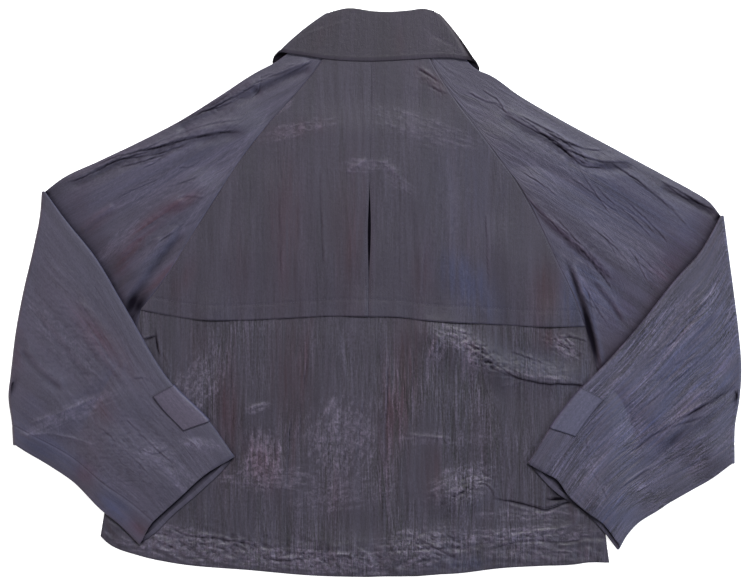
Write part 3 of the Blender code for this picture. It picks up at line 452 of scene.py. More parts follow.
SHADE = {
    "back": [
        (-288, -34, 10, 4, 70, 0.6), (262, -60, 40, 6, -76, 0.9), (-269, -54, 8, 1.6, 20, 0.8),
        (-261, -60, 14, 1.6, -82, 0.8),
        (-150, -120, 40, 24, 0, 0.12), (140, -200, 60, 40, 0, 0.12), (-240, -230, 50, 30, 0, 0.15),
        (129, -78, 13, 7, -40, 0.4), (196, -72, 44, 18, -15, 0.2), (-180, -140, 90, 80, 0, 0.12),
        (219, -240, 13, 6, -30, 0.8), (219, -246, 11, 3.2, 2, 1.1),
    ],
    "cape": [(120, 255, 40, 12, -45, 0.1)],
    "left_upper": [
        (-292, -15, 20, 11, 60, 1.0), (-283, -15, 18, 10, 58, 1.0), (-290, -28, 9, 7, 80, 0.9),
        (-278, 6, 16, 9, 54, 0.4),
        (-318, 20, 15, 5, -57, 0.75), (-313, 11, 7, 4, -57, 0.8),
        (-264, 30, 44, 8, 54, 0.22), (-185, 230, 70, 6, 27, 0.3), (-260, 110, 130, 60, 35, 0.05),
        (-112, 260, 40, 8, 22, 0.2), (-262, 172, 110, 9, 17, 0.12), (-394, 120, 9, 4, -30, 1.0),
    ],
    "right_upper": [
        (258, -45, 46, 6, -76, 1.0), (240, 12, 30, 4, -70, 0.6), (225, 176, 60, 9, -30, 0.32),
        (290, 90, 150, 90, -35, 0.14),
        (280, 156, 34, 8, -5, 0.35), (330, 120, 60, 5, -42, 0.3), (390, 104, 34, 7, -35, 0.35),
        (412, 91, 10, 4, 45, 1.0),
    ],
    "left_lower": [(-437, -117, 13, 4, 62, 0.9)],
    "right_lower": [
        (434, -124, 9, 4, 75, 1.0), (405, -126, 40, 13, 38, 0.15), (366, -166, 46, 11, 42, 0.08),
        (300, -190, 50, 14, 45, 0.08),
    ],
    "collar": [(-117, 281, 9, 5, 40, 0.95), (117, 275, 9, 5, -45, 0.95)],
}

# Crumpled places, as the zones above; their ridges get painted highlights and their cracks painted shade
CRUMPLES = {
    "back": [
        (128, -74, 32, 11, -36, 1.7), (226, -62, 24, 12, -25, 0.9), (92, -50, 24, 14, -20, 0.6),
        (190, -88, 50, 12, -12, 0.5), (105, -234, 44, 16, 20, 0.8), (196, -268, 56, 10, 0, 0.6),
        (-38, -172, 44, 30, 60, 0.35), (-132, -200, 32, 24, 90, 0.5), (-216, -112, 36, 20, 60, 0.35),
        (-200, -303, 100, 13, -4, 1.3), (-60, -318, 100, 13, -3, 1.3), (60, -306, 60, 20, 8, 1.2),
        (180, -292, 80, 9, 3, 0.8), (200, -312, 70, 9, 0, 0.6),
    ],
    "cape": [(70, 252, 24, 10, -35, 0.4)],
    "right_upper": [(225, 176, 70, 14, -30, 0.4), (268, 10, 70, 30, -52, 0.35)],
    "left_upper": [(-185, 226, 70, 14, 27, 0.3), (-262, 166, 100, 14, 17, 0.3), (-270, 60, 60, 40, 52, 0.25)],
    "left_lower": [(-360, -60, 110, 60, -58, 0.25), (-300, -190, 90, 70, -45, 0.3)],
}
CRUMPLE = {"height": 0.65, "length": 12.5, "width": 7.2, "shine": 0.45, "shade": 0.75}
CRUMPLE_RIDGES = [(1.0, 1.0, 0.6), (2.6, 2.0, 0.4)]    # how much finer along and across, and share
CRUMPLE_CRACKS = {"scale": 0.8, "share": 0.8, "shade_from": 0.2, "most_shade": 0.6}
CRUMPLE_SHARPNESS = {"ridge": 3.0, "crack": 6.0}

# Crinkle of the cloth along its grain: pitch across it, length along it and height
CRINKLE_COLUMNS = ("pitch", "length", "height")
CRINKLE = {
    "body": [(26, 190, 0.34), (11, 120, 0.26), (5.5, 70, 0.17)],
    "sleeve": [(24, 150, 0.36), (10, 90, 0.30), (5.5, 60, 0.18)],
    "collar": [(30, 90, 0.10), (7, 60, 0.05)],
}
CRINKLE_DRIFT = {"height": 5.0, "across": 90, "along": 70}
CRINKLE_PATCH = {"mean": 0.65, "swing": 0.6, "across": 70, "along": 110}
RIDGE_SHARPNESS = 2.2    # how fast a crinkle or pucker falls off from its ridge

# Pulls of the sewn hem and lifts of the cape's free edge
HEM_STITCH = 30          # from the hem's edge to its stitching
HEM_PUCKER = {"height": 0.55, "pitch": 12, "length": 27, "reach": 56, "fade": 30, "slant": 40, "edge": 6}
HEM_RIPPLE = {"share": 0.9, "pitch": 9, "length": 14}
SEWN_DIPS = {"hem": (0.25, 1.6), "cape": (0.22, 1.3), "leaf": (0.2, 1.1)}    # depth and half width
FLUTTER_COLUMNS = ("x", "half_width", "lift")
CAPE_FLUTTER = [(-198, 24, 1.4), (-110, 22, 0.6), (-12, 20, 1.9), (96, 46, 1.2), (205, 12, 2.4)]
FLUTTER_NOISE = {"height": 0.6, "pitch": 15}
FLUTTER_SHARE = 0.12     # share of the cape's length that flutters
CAPE_EDGE_DROP = 2.9     # the free edge lies closer to the back than the solid's does
CAPE_CRINKLE = 0.5       # share of the body's crinkle
FRONT_CRINKLE = 0.3      # the same for the fronts
UNDER_CAPE = {"below": 8, "fade": 16}        # the back's relief starts below the cape's free edge
# painted shadow on the back just below the cape's free edge: pitch of its unevenness and half width
CAPE_SHADOW_LINE = {"pitch": 22, "half_width": 1.2}    # dark line on the back along that edge
VENT_DIP = {"depth": 0.5, "half_width": 2.0}    # of the vent's edges
VENT_REACH = 12          # distance over which the halves draw apart
# painted shade on the back under the vent's slit: start above the vent's top, fade, foot, middle and half
# width
VENT_SHADE = {"above": 6, "fade": 8, "foot": -24, "x": -6, "half_width": 9}
SEAM_FADE = 10           # distance from a seam over which creases end
VENT_FADE = 6            # the same from the vent
CAPE_STITCH = 20         # from the cape's free edge to its stitching
LEAF_STITCH = 4
CUFF_STITCH = 6
SEAM_STITCH = 2.5

# Strength of the finest pleats by panel
PLEATS = {
    "back": 0.9, "cape": 0.25, "collar": 0.2, "tab": 0.2,
    "left_upper": 0.25, "right_upper": 0.35, "left_lower": 0.18, "right_lower": 1.3,
}
PLEATED = {
    "back": [(105, -140, 90, 62, 90, 1.0), (-20, -230, 60, 50, 90, 0.4), (-180, -120, 60, 30, 90, 0.3)],
}
CRINKLED = {"left_upper": 0.35, "right_upper": 0.5, "left_lower": 0.35, "right_lower": 1.2}

# Cloth finish
# The shot colours are painted by the way a slope faces, red to the left and blue to the right: a painted
# sheen
SHOT_TILT = 1.0          # how fast the shot colours turn as the cloth tilts to the left or right
SHOT_MOST = 0.5
# the zones hold red and blue shot colours, painted highlight and painted shade
RED_ZONE, BLUE_ZONE, SHINE_ZONE, SHADE_ZONE = range(4)    # channels of a shell's zones
COLOUR_STREAKS = [(6, 90, 1.0), (2.8, 60, 0.7)]    # pitch, length and share
PLEAT_PATCH = {"across": 42, "along": 85}
# Seeds of the noises, and steps from one to the next
SEEDS = {
    "back": 100, "cape": 130, "collar": 160, "left": 200, "right": 300, "tab": 400,
    "back_crinkle": 11, "cape_crinkle": 23, "front_crinkle": 37, "collar_crinkle": 51,
    "back_pleats": 61, "cape_pleats": 62, "lower_pleats": 63, "upper_pleats": 64,
    "hem_pucker": 5, "hem_ripple": 6, "cape_shadow_line": 8, "flutter": 9,
}
SEED_STEPS = {"strands": 31, "drift": 90, "patch": 40, "crumples": 5, "sleeve_zones": 10}
# Strengths that come and go with a noise: mean, swing, least and most
UNEVEN = {
    "crease": (0.8, 0.7, 0.15, 1.5),
    "broad_crease": (0.8, 0.3, 0.15, 1.5),
    "wisp": (0.9, 0.6, 0.1, 1.5),
    "pleat": (0.9, 1.2, 0.2, 2.0),
    "colour": (0.85, 0.7, 0.0, 1.5),
    "cape_shadow_line": (0.7, 0.7, 0.2, 1.0),
}
OUTER = 0.45             # from the middle of a solid's wall to the shell
SEAM_DIP = {"depth": 0.35, "reach": 1.8}      # of a shell's edge into a seam
RIM_DROP = 0.7           # a free edge turns down and back under
RIM_STEPS = [(0.4, -0.25), (0.8, -0.1), (1.0, 0.5), (1.0, 5)]    # share of that drop, and distance inwards
FINEST = 1.45            # size of a mesh cell where the cloth shows most
FINE = 1.9
MEDIUM = 2.6
COARSE = 12
STITCH = {"pitch": 3.2, "length": 2.3, "width": 0.32, "height": 0.28}
SIDE_NAMES = ("first_row", "last_row", "first_column", "last_column")    # sides of a shell's grid


def smooth(share):
    """Eases from 0 to 1 as the share does, and stays there outside that range."""
    share = np.clip(share, 0.0, 1.0)
    return share * share * (3.0 - 2.0 * share)


def bell(distance, width):
    """1 at no distance, falling off to about a third at the width."""
    return np.exp(-(distance / width) ** 2)


def peak(distance, width):
    """The same with a sharp top."""
    return np.exp(-np.abs(distance) / width)


def uneven(kind, value):
    """Strength that swings with a noise value about its mean, within its limits."""
    mean, swing, least, most = UNEVEN[kind]
    return np.clip(mean + swing * value, least, most)


def named(columns, rows):
    """The rows of a table, each with the names of its columns."""
    return [dict(zip(columns, row)) for row in rows]


def sewn_dip(kind, distance):
    """Dip of the cloth along a row of stitches."""
    depth, half_width = SEWN_DIPS[kind]
    return -depth * bell(distance, half_width)


def deepen(zones, shade):
    """Raises the painted shade of the zones to at least a value."""
    zones[..., SHADE_ZONE] = np.maximum(zones[..., SHADE_ZONE], shade)


def unit(vectors):
    """Vectors of length 1."""
    return vectors / np.maximum(np.linalg.norm(vectors, axis=-1, keepdims=True), 1e-9)


def shares(length, cell):
    """Even shares along a length, about one for each cell."""
    return np.linspace(0.0, 1.0, max(2, round(length / cell)) + 1)


# Odd numbers that mix a cell's place and the seed into its angle
MIXERS = {"column": 374761393, "row": 668265263, "seed": 974711, "again": 1274126177}
NOISE_SCALE = 1.5        # brings the noise to about -1 to 1


def noise(x, y, seed):
    """Smooth noise between about -1 and 1 over a plane with a cell of 1."""
    x, y = np.broadcast_arrays(np.asarray(x, float), np.asarray(y, float))
    column, row = np.floor(x).astype(np.int64), np.floor(y).astype(np.int64)
    right, up = x - column, y - row

    def corner(i, j):
        mixed = (column + i) * MIXERS["column"] + (row + j) * MIXERS["row"] + seed * MIXERS["seed"]
        mixed = (mixed ^ (mixed >> 13)) * MIXERS["again"]
        angle = ((mixed ^ (mixed >> 16)) & 0xFFFF) * (2.0 * math.pi / 65536)
        return np.cos(angle) * (right - i) + np.sin(angle) * (up - j)

    ease_x = right ** 3 * (right * (right * 6.0 - 15.0) + 10.0)
    ease_y = up ** 3 * (up * (up * 6.0 - 15.0) + 10.0)
    low = corner(0, 0) * (1.0 - ease_x) + corner(1, 0) * ease_x
    high = corner(0, 1) * (1.0 - ease_x) + corner(1, 1) * ease_x
    return NOISE_SCALE * (low * (1.0 - ease_y) + high * ease_y)


def line_noise(x, seed, row=0):
    """The same noise along one row of cells."""
    return noise(x, row + 0.5, seed)


def edge(start, rows, end):
    """Smooth line from a corner through the rows to another corner, read by the share of its length."""
    points = np.array([start, *rows, end], float)
    knots = np.concatenate([[0.0], np.cumsum(np.linalg.norm(np.diff(points, axis=0), axis=1))])
    slopes = np.gradient(points, knots, axis=0)

    def at(share):
        place = np.asarray(share, float) * knots[-1]
        k = np.clip(np.searchsorted(knots, place, side="right") - 1, 0, len(knots) - 2)
        span = (knots[k + 1] - knots[k])[..., None]
        t = (place - knots[k])[..., None] / span
        ease = t * t * (3.0 - 2.0 * t)
        pull = slopes[k] * t * (1.0 - t) ** 2 - slopes[k + 1] * t * t * (1.0 - t)
        return points[k] * (1.0 - ease) + points[k + 1] * ease + span * pull

    at.length = knots[-1]
    return at


def chain(first, second, corner=None):
    """One line made of two that meet at a corner, whose share follows their lengths if it isn't given."""
    if corner is None:
        corner = first.length / (first.length + second.length)

    def at(share):
        share = np.asarray(share, float)
        early = first(np.clip(share / corner, 0.0, 1.0))
        late = second(np.clip((share - corner) / (1.0 - corner), 0.0, 1.0))
        return np.where((share < corner)[..., None], early, late)

    at.length = first.length + second.length
    at.corner = corner
    return at


def panel(first, last, start, end):
    """Fills the plan between four edges: first and last run along v, start and end along u."""

    def at(u, v):
        wide_u = u[..., None]
        wide_v = v[..., None]
        across = (1.0 - wide_u) * first(v) + wide_u * last(v)
        along = (1.0 - wide_v) * start(u) + wide_v * end(u)
        near = (1.0 - wide_v) * first(0.0) + wide_v * first(1.0)
        far = (1.0 - wide_v) * last(0.0) + wide_v * last(1.0)
        return across + along - (1.0 - wide_u) * near - wide_u * far

    return at


def grid(u_shares, v_shares):
    """Two arrays of shares for every crossing of a grid."""
    return np.meshgrid(np.asarray(u_shares, float), np.asarray(v_shares, float), indexing="ij")


def solid_points(plan, height):
    """Joins places in plan and their heights."""
    return np.concatenate([plan, np.broadcast_to(height, plan.shape[:-1])[..., None]], axis=-1)


def grid_normals(points):
    """Normal at each point of a grid, the mean of the normals of the faces around it."""
    diagonal = points[1:, 1:] - points[:-1, :-1]
    other = points[:-1, 1:] - points[1:, :-1]
    faces = unit(np.cross(diagonal, other))
    total = np.zeros_like(points)
    total[:-1, :-1] += faces
    total[1:, :-1] += faces
    total[:-1, 1:] += faces
    total[1:, 1:] += faces
    return unit(total)


PATH_STEPS = 6           # straight steps for each point of a path


def along_path(plan, path):
    """Signed distance from a smooth path, and the share along it, at each place in plan."""
    line = edge(path[0], path[1:-1], path[-1])
    knots = line(np.linspace(0.0, 1.0, PATH_STEPS * len(path)))
    best = np.full(len(plan), np.inf)
    aside = np.zeros(len(plan))
    share = np.zeros(len(plan))
    for k, (start, end) in enumerate(zip(knots[:-1], knots[1:])):
        run = end - start
        t = np.clip((plan - start) @ run / (run @ run), 0.0, 1.0)
        away = plan - start - t[:, None] * run
        distance = np.linalg.norm(away, axis=1)
        nearer = distance < best
        side = np.sign(run[0] * away[:, 1] - run[1] * away[:, 0])
        best = np.where(nearer, distance, best)
        aside = np.where(nearer, distance * side, aside)
        share = np.where(nearer, (k + t) / (len(knots) - 1), share)
    return aside, share, line.length


THIN_CREASE = 1.8        # half width up to which a crease shows as a line
BROAD_CREASE = 3.0       # half width from which it is soft
CREASE_REACH = 6         # half widths past which it has no effect
CREASE_FADE = 0.12       # share of its length over which it ends
WANDER = {"long": 1.4, "long_pitch": 30, "short": 0.9, "short_pitch": 8, "drop_pitch": 16}
UNEVEN_PITCH = 24
NOISE_ROWS = {"short": 3, "uneven": 7}    # rows apart, so that these noises differ
# Limits of where a strand beside the first one starts and ends, and of its offset and tilt
STRAND = {"start": (0.0, 0.45), "end": (0.55, 1.0), "offset": (-0.5, 0.5), "tilt": (-1.2, 1.2)}
SIDE_STRAND = 0.7        # its strength
# Parts of a crease: place across it and width, in half widths
CREASE_FORMS = {
    "crease": {"ridge": (0.9, 0.9), "valley": (-0.2, 0.55), "line": (-0.2, 0.45)},
    "broad_crease": {"ridge": (0.9, 1.0), "valley": (-0.5, 1.0), "line": (-0.4, 0.7)},
}
# Shares of the ridge and valley in the height, of the painted highlight on the ridge and of the painted shade
# line in the valley
VALLEYED = {"ridge": 0.5, "valley": 0.6, "shine": 0.25, "shade": 0.22, "thin_shade": 0.36, "full_depth": 1.2}
RIDGE_SHINE = 0.4


def creases_of(layer, plan):
    """Height, shine and shade of a layer's creases at each place in plan.

    A crease is a sharp ridge with a narrow valley on its lower side. One with a negative depth is a ridge
    alone.
    """
    flat = plan.reshape(-1, 2)
    total = np.zeros((3, len(flat)))
    for number, crease in enumerate(named(CREASE_COLUMNS, CREASES[layer])):
        path = np.array(crease["path"], float)
        if path[0, 0] > path[-1, 0]:
            path = path[::-1]
        depth, width = crease["depth"], crease["half_width"]
        bundle = crease["spread"] * crease["strands"]
        reach = CREASE_REACH * width + bundle
        near = np.all((flat > path.min(axis=0) - reach) & (flat < path.max(axis=0) + reach), axis=1)
        if not near.any():
            continue
        aside, share, length = along_path(flat[near], path)
        place = share * length
        thin = min(1.0, THIN_CREASE / width)
        kind, fall = ("broad_crease", bell) if width > BROAD_CREASE else ("crease", peak)
        form = CREASE_FORMS[kind]
        random = np.random.default_rng(number)
        for strand in range(crease["strands"]):
            seed = SEED_STEPS["strands"] * number + strand
            start, end, offset, tilt = 0.0, 1.0, 0.0, 0.0
            if strand:
                start, end, offset, tilt = (random.uniform(*limits) for limits in STRAND.values())
            ends = smooth((share - start) / CREASE_FADE) * smooth((end - share) / CREASE_FADE)
            middle = bundle * (offset + tilt * (share - (start + end) / 2))
            wander = WANDER["long"] * line_noise(place / WANDER["long_pitch"], seed)
            jitter = line_noise(place / WANDER["short_pitch"], seed, NOISE_ROWS["short"])
            wander = wander + WANDER["short"] * np.abs(jitter)
            off = (aside - middle - wander) / width
            part = ends * uneven(kind, line_noise(place / UNEVEN_PITCH, seed, NOISE_ROWS["uneven"]))
            part = part * (SIDE_STRAND if strand else 1.0)
            ridge, valley = (fall(off - form[key][0], form[key][1]) for key in ("ridge", "valley"))
            line = bell(off - form["line"][0], form["line"][1])
            # The ridge gets a painted highlight and the valley a painted shade line
            if depth > 0:
                total[0, near] += depth * part * (VALLEYED["ridge"] * ridge - VALLEYED["valley"] * valley)
                total[1, near] += VALLEYED["shine"] * thin * part * ridge * min(1.0, depth)
                dark = VALLEYED["shade"] + VALLEYED["thin_shade"] * thin
                total[2, near] += dark * part * line * min(1.0, depth / VALLEYED["full_depth"])
            else:
                total[0, near] -= depth * part * ridge
                total[1, near] += RIDGE_SHINE * thin * thin * part * ridge
    return total.reshape((3,) + plan.shape[:-1])


def fold_heights(layer, plan):
    """Height that a layer's soft folds add at each place in plan."""
    total = np.zeros(plan.shape[:-1])
    for fold in named(FOLD_COLUMNS, FOLDS[layer]):
        start = np.array([fold["x0"], fold["y0"]])
        run = np.array([fold["x1"], fold["y1"]]) - start
        along = ((plan - start) @ run) / (run @ run)
        nearest = start + np.clip(along, 0.0, 1.0)[..., None] * run
        aside = np.linalg.norm(plan - nearest, axis=-1)
        total = np.maximum(total, fold["height"] * bell(aside, fold["half_width"]))
    return total


def crinkle_heights(kind, grain, seed):
    """Height of the crinkle at each place of the grain, across it and along it."""
    across, along = grain[..., 0], grain[..., 1]
    sway, spot = CRINKLE_DRIFT, CRINKLE_PATCH
    drift = noise(across / sway["across"], along / sway["along"], seed + SEED_STEPS["drift"])
    drift = sway["height"] * drift
    total = np.zeros(across.shape)
    for number, layer in enumerate(named(CRINKLE_COLUMNS, CRINKLE[kind])):
        wave = noise((across + drift) / layer["pitch"], along / layer["length"], seed + number)
        patch = noise(across / spot["across"], along / spot["along"], seed + number + SEED_STEPS["patch"])
        patch = spot["mean"] + spot["swing"] * patch
        total += layer["height"] * patch * (1.0 - RIDGE_SHARPNESS * np.abs(wave))
    return total


WISP = {"length": 24, "width": 3.4, "ragged": 1.0, "edge": 0.12, "rise": 0.68}
FINE_WISP = {"share": 0.6, "finer_along": 2.4, "finer_across": 2.0}


def zone_sum(rows, plan, seed=None):
    """Strength of a table's rows at each place: the strongest one counts.

    A seed breaks each one up into wisps.
    """
    total = np.zeros(plan.shape[:-1])
    for zone in named(ZONE_COLUMNS, rows):
        turn = math.radians(zone["turn"])
        dx, dy = plan[..., 0] - zone["x"], plan[..., 1] - zone["y"]
        along = dx * math.cos(turn) + dy * math.sin(turn)
        across = dy * math.cos(turn) - dx * math.sin(turn)
        spot = np.exp(-(along / zone["half_length"]) ** 2 - (across / zone["half_width"]) ** 2)
        if seed is not None:
            wisps = noise(along / WISP["length"], across / WISP["width"], seed)
            finer = FINE_WISP["finer_along"] * along, FINE_WISP["finer_across"] * across
            fine = noise(finer[0] / WISP["length"], finer[1] / WISP["width"], seed + 1)
            wisps = wisps + FINE_WISP["share"] * fine
            ragged = smooth((spot * (1.0 + WISP["ragged"] * wisps) - WISP["edge"]) / WISP["rise"])
            spot = ragged * uneven("wisp", wisps)
        total = np.maximum(total, zone["amount"] * spot)
    return total


# Fades at the start and end, sharpness of the edge, and the painted shadow line below it: place, width and
# shade
DROP = {"start": 0.3, "end": 0.06, "edge": 1.2, "line": 1.1, "line_width": 1.0, "shade": 0.9}


def drops_of(layer, plan):
    """Height of a layer's sharp drops, and the painted shadow line just below each."""
    height = np.zeros(plan.shape[:-1])
    shade = np.zeros(plan.shape[:-1])
    for number, drop in enumerate(named(DROP_COLUMNS, DROPS.get(layer, []))):
        aside, share, length = along_path(plan.reshape(-1, 2), np.array(drop["path"], float))
        aside = aside - WANDER["long"] * line_noise(share * length / WANDER["drop_pitch"], number)
        aside, share = (values.reshape(plan.shape[:-1]) for values in (aside, share))
        ends = smooth(share / DROP["start"]) * smooth((1.0 - share) / DROP["end"])
        below = np.maximum(-aside, 0.0)
        sunk = drop["depth"] * ends * (1.0 - peak(below, DROP["edge"]))
        height -= sunk * peak(below, drop["reach"])
        shade = np.maximum(shade, DROP["shade"] * ends * bell(aside + DROP["line"], DROP["line_width"]))
    return height, shade


def crumples_of(layer, plan, seed):
    """Strength of a layer's crumples, and their relief in sharp ridges and cracks."""
    strength = zone_sum(CRUMPLES.get(layer, []), plan)
    x, y = plan[..., 0] / CRUMPLE["length"], plan[..., 1] / CRUMPLE["width"]
    relief = 0.0
    for number, (finer_x, finer_y, share) in enumerate(CRUMPLE_RIDGES):
        ridge = np.abs(noise(finer_x * x, finer_y * y, seed + number))
        relief = relief + share * (1.0 - CRUMPLE_SHARPNESS["ridge"] * ridge)
    scale = CRUMPLE_CRACKS["scale"]
    crack = np.abs(noise(scale * x, scale * y, seed + len(CRUMPLE_RIDGES)))
    crack = np.maximum(1.0 - CRUMPLE_SHARPNESS["crack"] * crack, 0.0)
    return strength, relief - CRUMPLE_CRACKS["share"] * crack


def pleat_strength(panel_name, plan, grain, seed):
    """Strength of the finest pleats, which come and go over the panel."""
    patch = noise(grain[..., 0] / PLEAT_PATCH["across"], grain[..., 1] / PLEAT_PATCH["along"], seed)
    strength = PLEATS[panel_name] + zone_sum(PLEATED.get(panel_name, []), plan)
    return strength * uneven("pleat", patch)


def zones_of(layer, plan, grain, seed):
    """Red, blue, shine and shade of a layer at each place; the colours are broken up along the grain."""
    streaks = 0.0
    for number, (pitch, length, share) in enumerate(COLOUR_STREAKS):
        streaks = streaks + share * noise(grain[..., 0] / pitch, grain[..., 1] / length, seed + number)
    coloured = uneven("colour", streaks)
    parts = [
        zone_sum(RED[layer], plan) * coloured,
        zone_sum(BLUE[layer], plan) * coloured,
        zone_sum(SHINE[layer], plan, seed + len(COLOUR_STREAKS)),
        zone_sum(SHADE[layer], plan),
    ]
    return np.clip(np.stack(parts, axis=-1), 0.0, 1.0)


def creased(layer, plan, grain, seed):
    """Height of a layer's creases, and its zones with their painted highlights and painted shade."""
    height, shine, shade = creases_of(layer, plan)
    dropped, drop_shade = drops_of(layer, plan)
    crumpled, relief = crumples_of(layer, plan, seed + SEED_STEPS["crumples"])
    shine = shine + CRUMPLE["shine"] * crumpled * np.clip(relief, 0.0, 1.0)
    cracks = CRUMPLE["shade"] * crumpled * np.clip(-relief - CRUMPLE_CRACKS["shade_from"], 0.0, 1.0)
    shade = np.maximum(shade + np.minimum(cracks, CRUMPLE_CRACKS["most_shade"]), drop_shade)
    zones = zones_of(layer, plan, grain, seed)
    for channel, added in ((SHINE_ZONE, shine), (SHADE_ZONE, shade)):
        zones[..., channel] = np.clip(zones[..., channel] + added, 0.0, 1.0)
    return height + dropped + CRUMPLE["height"] * crumpled * relief, zones


def collar_share(plan):
    """1 where the front leaf of the collar lies underneath, 0 away from it."""
    zone = COLLAR_ZONE
    aside = (plan[..., 0] - zone["x"]) / zone["half_width"]
    along = (plan[..., 1] - zone["y"]) / zone["half_length"]
    return smooth((1.0 + zone["fade"] - np.hypot(aside, along)) / zone["fade"])


def floor_height(plan):
    """Middle of the lowest layer, which the front leaf of the collar lifts."""
    return FLOOR + COLLAR_LIFT * collar_share(plan)


def overlap_rise(plan):
    """Rise of the back over the strip where the two fronts overlap."""
    rise = OVERLAP_RISE
    aside = np.abs(plan[..., 0] - sum(FRONT_OVERLAP_EDGES.values()) / 2)
    across = smooth((rise["half_width"] - aside) / rise["fade"])
    return LAYER * across * smooth((rise["top"] - plan[..., 1]) / rise["top_fade"])


def clear_of_sleeve(plan, side):
    """0 under a folded sleeve and 1 well clear of it, by the distance from its inner edge."""
    start = np.array(side["tip"])
    run = np.array(side["cuff_inner"]) - start
    normal = np.array([-run[1], run[0]]) / np.linalg.norm(run)
    outward = -side["hand"] * math.copysign(1.0, normal[0])
    return smooth(((plan - start) @ (normal * outward) - CLEAR_MARGIN) / CLEAR_FADE)


def back_height(plan):
    """Middle of the back panel."""
    clear = clear_of_sleeve(plan, SIDES["left"]) * clear_of_sleeve(plan, SIDES["right"])
    loft = BACK_LOFT * (1.0 - COLLAR_PRESS["back"] * collar_share(plan)) + fold_heights("back", plan) * clear
    return floor_height(plan) + LAYER + overlap_rise(plan) + loft


def cape_height(plan, drop):
    """Middle of the cape; drop is 0 at its neck seam and 1 at its free edge."""
    pressed = collar_share(plan)
    loft = CAPE_LOFT * (1.0 - COLLAR_PRESS["cape"] * pressed) + fold_heights("cape", plan) * (1.0 - pressed)
    lift = CAPE_EDGE_LIFT * smooth((drop - 1.0) / CAPE_EDGE_SHARE + 1.0)
    return back_height(plan) + LAYER + loft + lift


def cape_flutter(plan, drop):
    """How far the cape's free edge lifts off the back, against the solid's own lift."""
    lift = np.zeros(plan.shape[:-1])
    for flutter in named(FLUTTER_COLUMNS, CAPE_FLUTTER):
        lift += flutter["lift"] * bell(plan[..., 0] - flutter["x"], flutter["half_width"])
    lift += FLUTTER_NOISE["height"] * line_noise(plan[..., 0] / FLUTTER_NOISE["pitch"], SEEDS["flutter"])
    lowered = CAPE_EDGE_DROP * smooth((drop - 1.0) / CAPE_EDGE_SHARE + 1.0)
    return lift * smooth((drop - 1.0) / FLUTTER_SHARE + 1.0) - lowered


def run_lengths(points, axis):
    """Length along a grid's rows or columns from the start to each point."""
    steps = np.linalg.norm(np.diff(points, axis=axis), axis=-1)
    pad = [(0, 0), (0, 0)]
    pad[axis] = (1, 0)
    return np.pad(np.cumsum(steps, axis=axis), pad)


def edge_distances(points):
    """Distance of each point from a grid's first row, last row, first column and last column."""
    down = run_lengths(points, 0)
    across = run_lengths(points, 1)
    return down, down[-1:] - down, across, across[:, -1:] - across


def seam_dip(points, sides):
    """Dip of the shell into the seams along the named sides of its grid."""
    dip = np.zeros(points.shape[:2])
    for name, distance in zip(SIDE_NAMES, edge_distances(points)):
        if name in sides:
            dip = np.maximum(dip, 1.0 - smooth(distance / SEAM_DIP["reach"]))
    return -SEAM_DIP["depth"] * dip


def with_rims(arrays, normals, sides):
    """Adds to a grid's points, and to the values that go with them, the turn-under along its free edges."""
    for side in sides:
        axis = int(side.endswith("column"))
        at_start = side.startswith("first")
        last, beside = (0, 1) if at_start else (-1, -2)
        rim = arrays[0].take(last, axis)
        inward = unit(arrays[0].take(beside, axis) - rim)
        down = -normals.take(last, axis)
        turned = [rim + down * RIM_DROP * share + inward * under for share, under in RIM_STEPS]
        added = [turned] + [[values.take(last, axis)] * len(turned) for values in (*arrays[1:], normals)]
        grown = []
        for old, new in zip((*arrays, normals), added):
            new = np.stack(new[::-1] if at_start else new, axis)
            grown.append(np.concatenate([new, old] if at_start else [old, new], axis))
        *arrays, normals = grown
    return arrays


def linked(name, data):
    """A new object in the scene."""
    made = bpy.data.objects.new(name, data)
    bpy.context.scene.collection.objects.link(made)
    return made


class Cloth:
    """One panel's shell: its points after the creases, their normals, and the part that it stands in for."""

    def __init__(self, node, slot, base, grain, lift, zones, crinkle=1.0, seams=(), rims=(), flip=False):
        self.node = node
        self.slot = slot
        crinkle = np.broadcast_to(crinkle, lift.shape)
        if flip:
            base, grain, lift, zones, crinkle = (a[:, ::-1] for a in (base, grain, lift, zones, crinkle))
            swap = {"first_column": "last_column", "last_column": "first_column"}
            seams = [swap.get(s, s) for s in seams]
            rims = [swap.get(s, s) for s in rims]
        self.base = base
        normals = grid_normals(base)
        lift = lift + OUTER + seam_dip(base, seams)
        self.points = base + normals * lift[..., None]
        self.normals = grid_normals(self.points)
        zones = np.array(zones)
        # The shot colours are painted by which way each slope faces, red to the left and blue to the right: a
        # painted sheen
        tilt = SHOT_TILT * self.normals[..., 0]
        for channel, turned in ((RED_ZONE, -tilt), (BLUE_ZONE, tilt)):
            zones[..., channel] = np.clip(zones[..., channel] + np.clip(turned, 0.0, SHOT_MOST), 0.0, 1.0)
        arrays = [self.points, grain, zones, crinkle[..., None]]
        self.piece = self.make(*with_rims(arrays, self.normals, rims))

    def make(self, points, grain, zones, crinkle):
        rows, columns = points.shape[:2]
        index = np.arange(rows * columns).reshape(rows, columns)
        around = [index[:-1, :-1], index[1:, :-1], index[1:, 1:], index[:-1, 1:]]
        faces = np.stack(around, axis=-1).reshape(-1, 4)
        mesh = bpy.data.meshes.new(self.node + "_cloth")
        mesh.from_pydata((points.reshape(-1, 3) * MM).tolist(), [], faces.tolist())
        uv = mesh.uv_layers.new(name="grain")
        uv.data.foreach_set("uv", (grain.reshape(-1, 2)[faces.ravel()] * MM).astype(np.float32).ravel())
        colour = mesh.color_attributes.new("zones", "FLOAT_COLOR", "POINT")
        colour.data.foreach_set("color", zones.astype(np.float32).ravel())
        strength = mesh.attributes.new("crinkle", "FLOAT", "POINT")
        strength.data.foreach_set("value", crinkle.astype(np.float32).ravel())
        mesh.shade_smooth()
        piece = linked(mesh.name, mesh)
        piece.data.materials.append(cloth_material(self.slot))
        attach(piece, "root")
        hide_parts(self.node)
        return piece


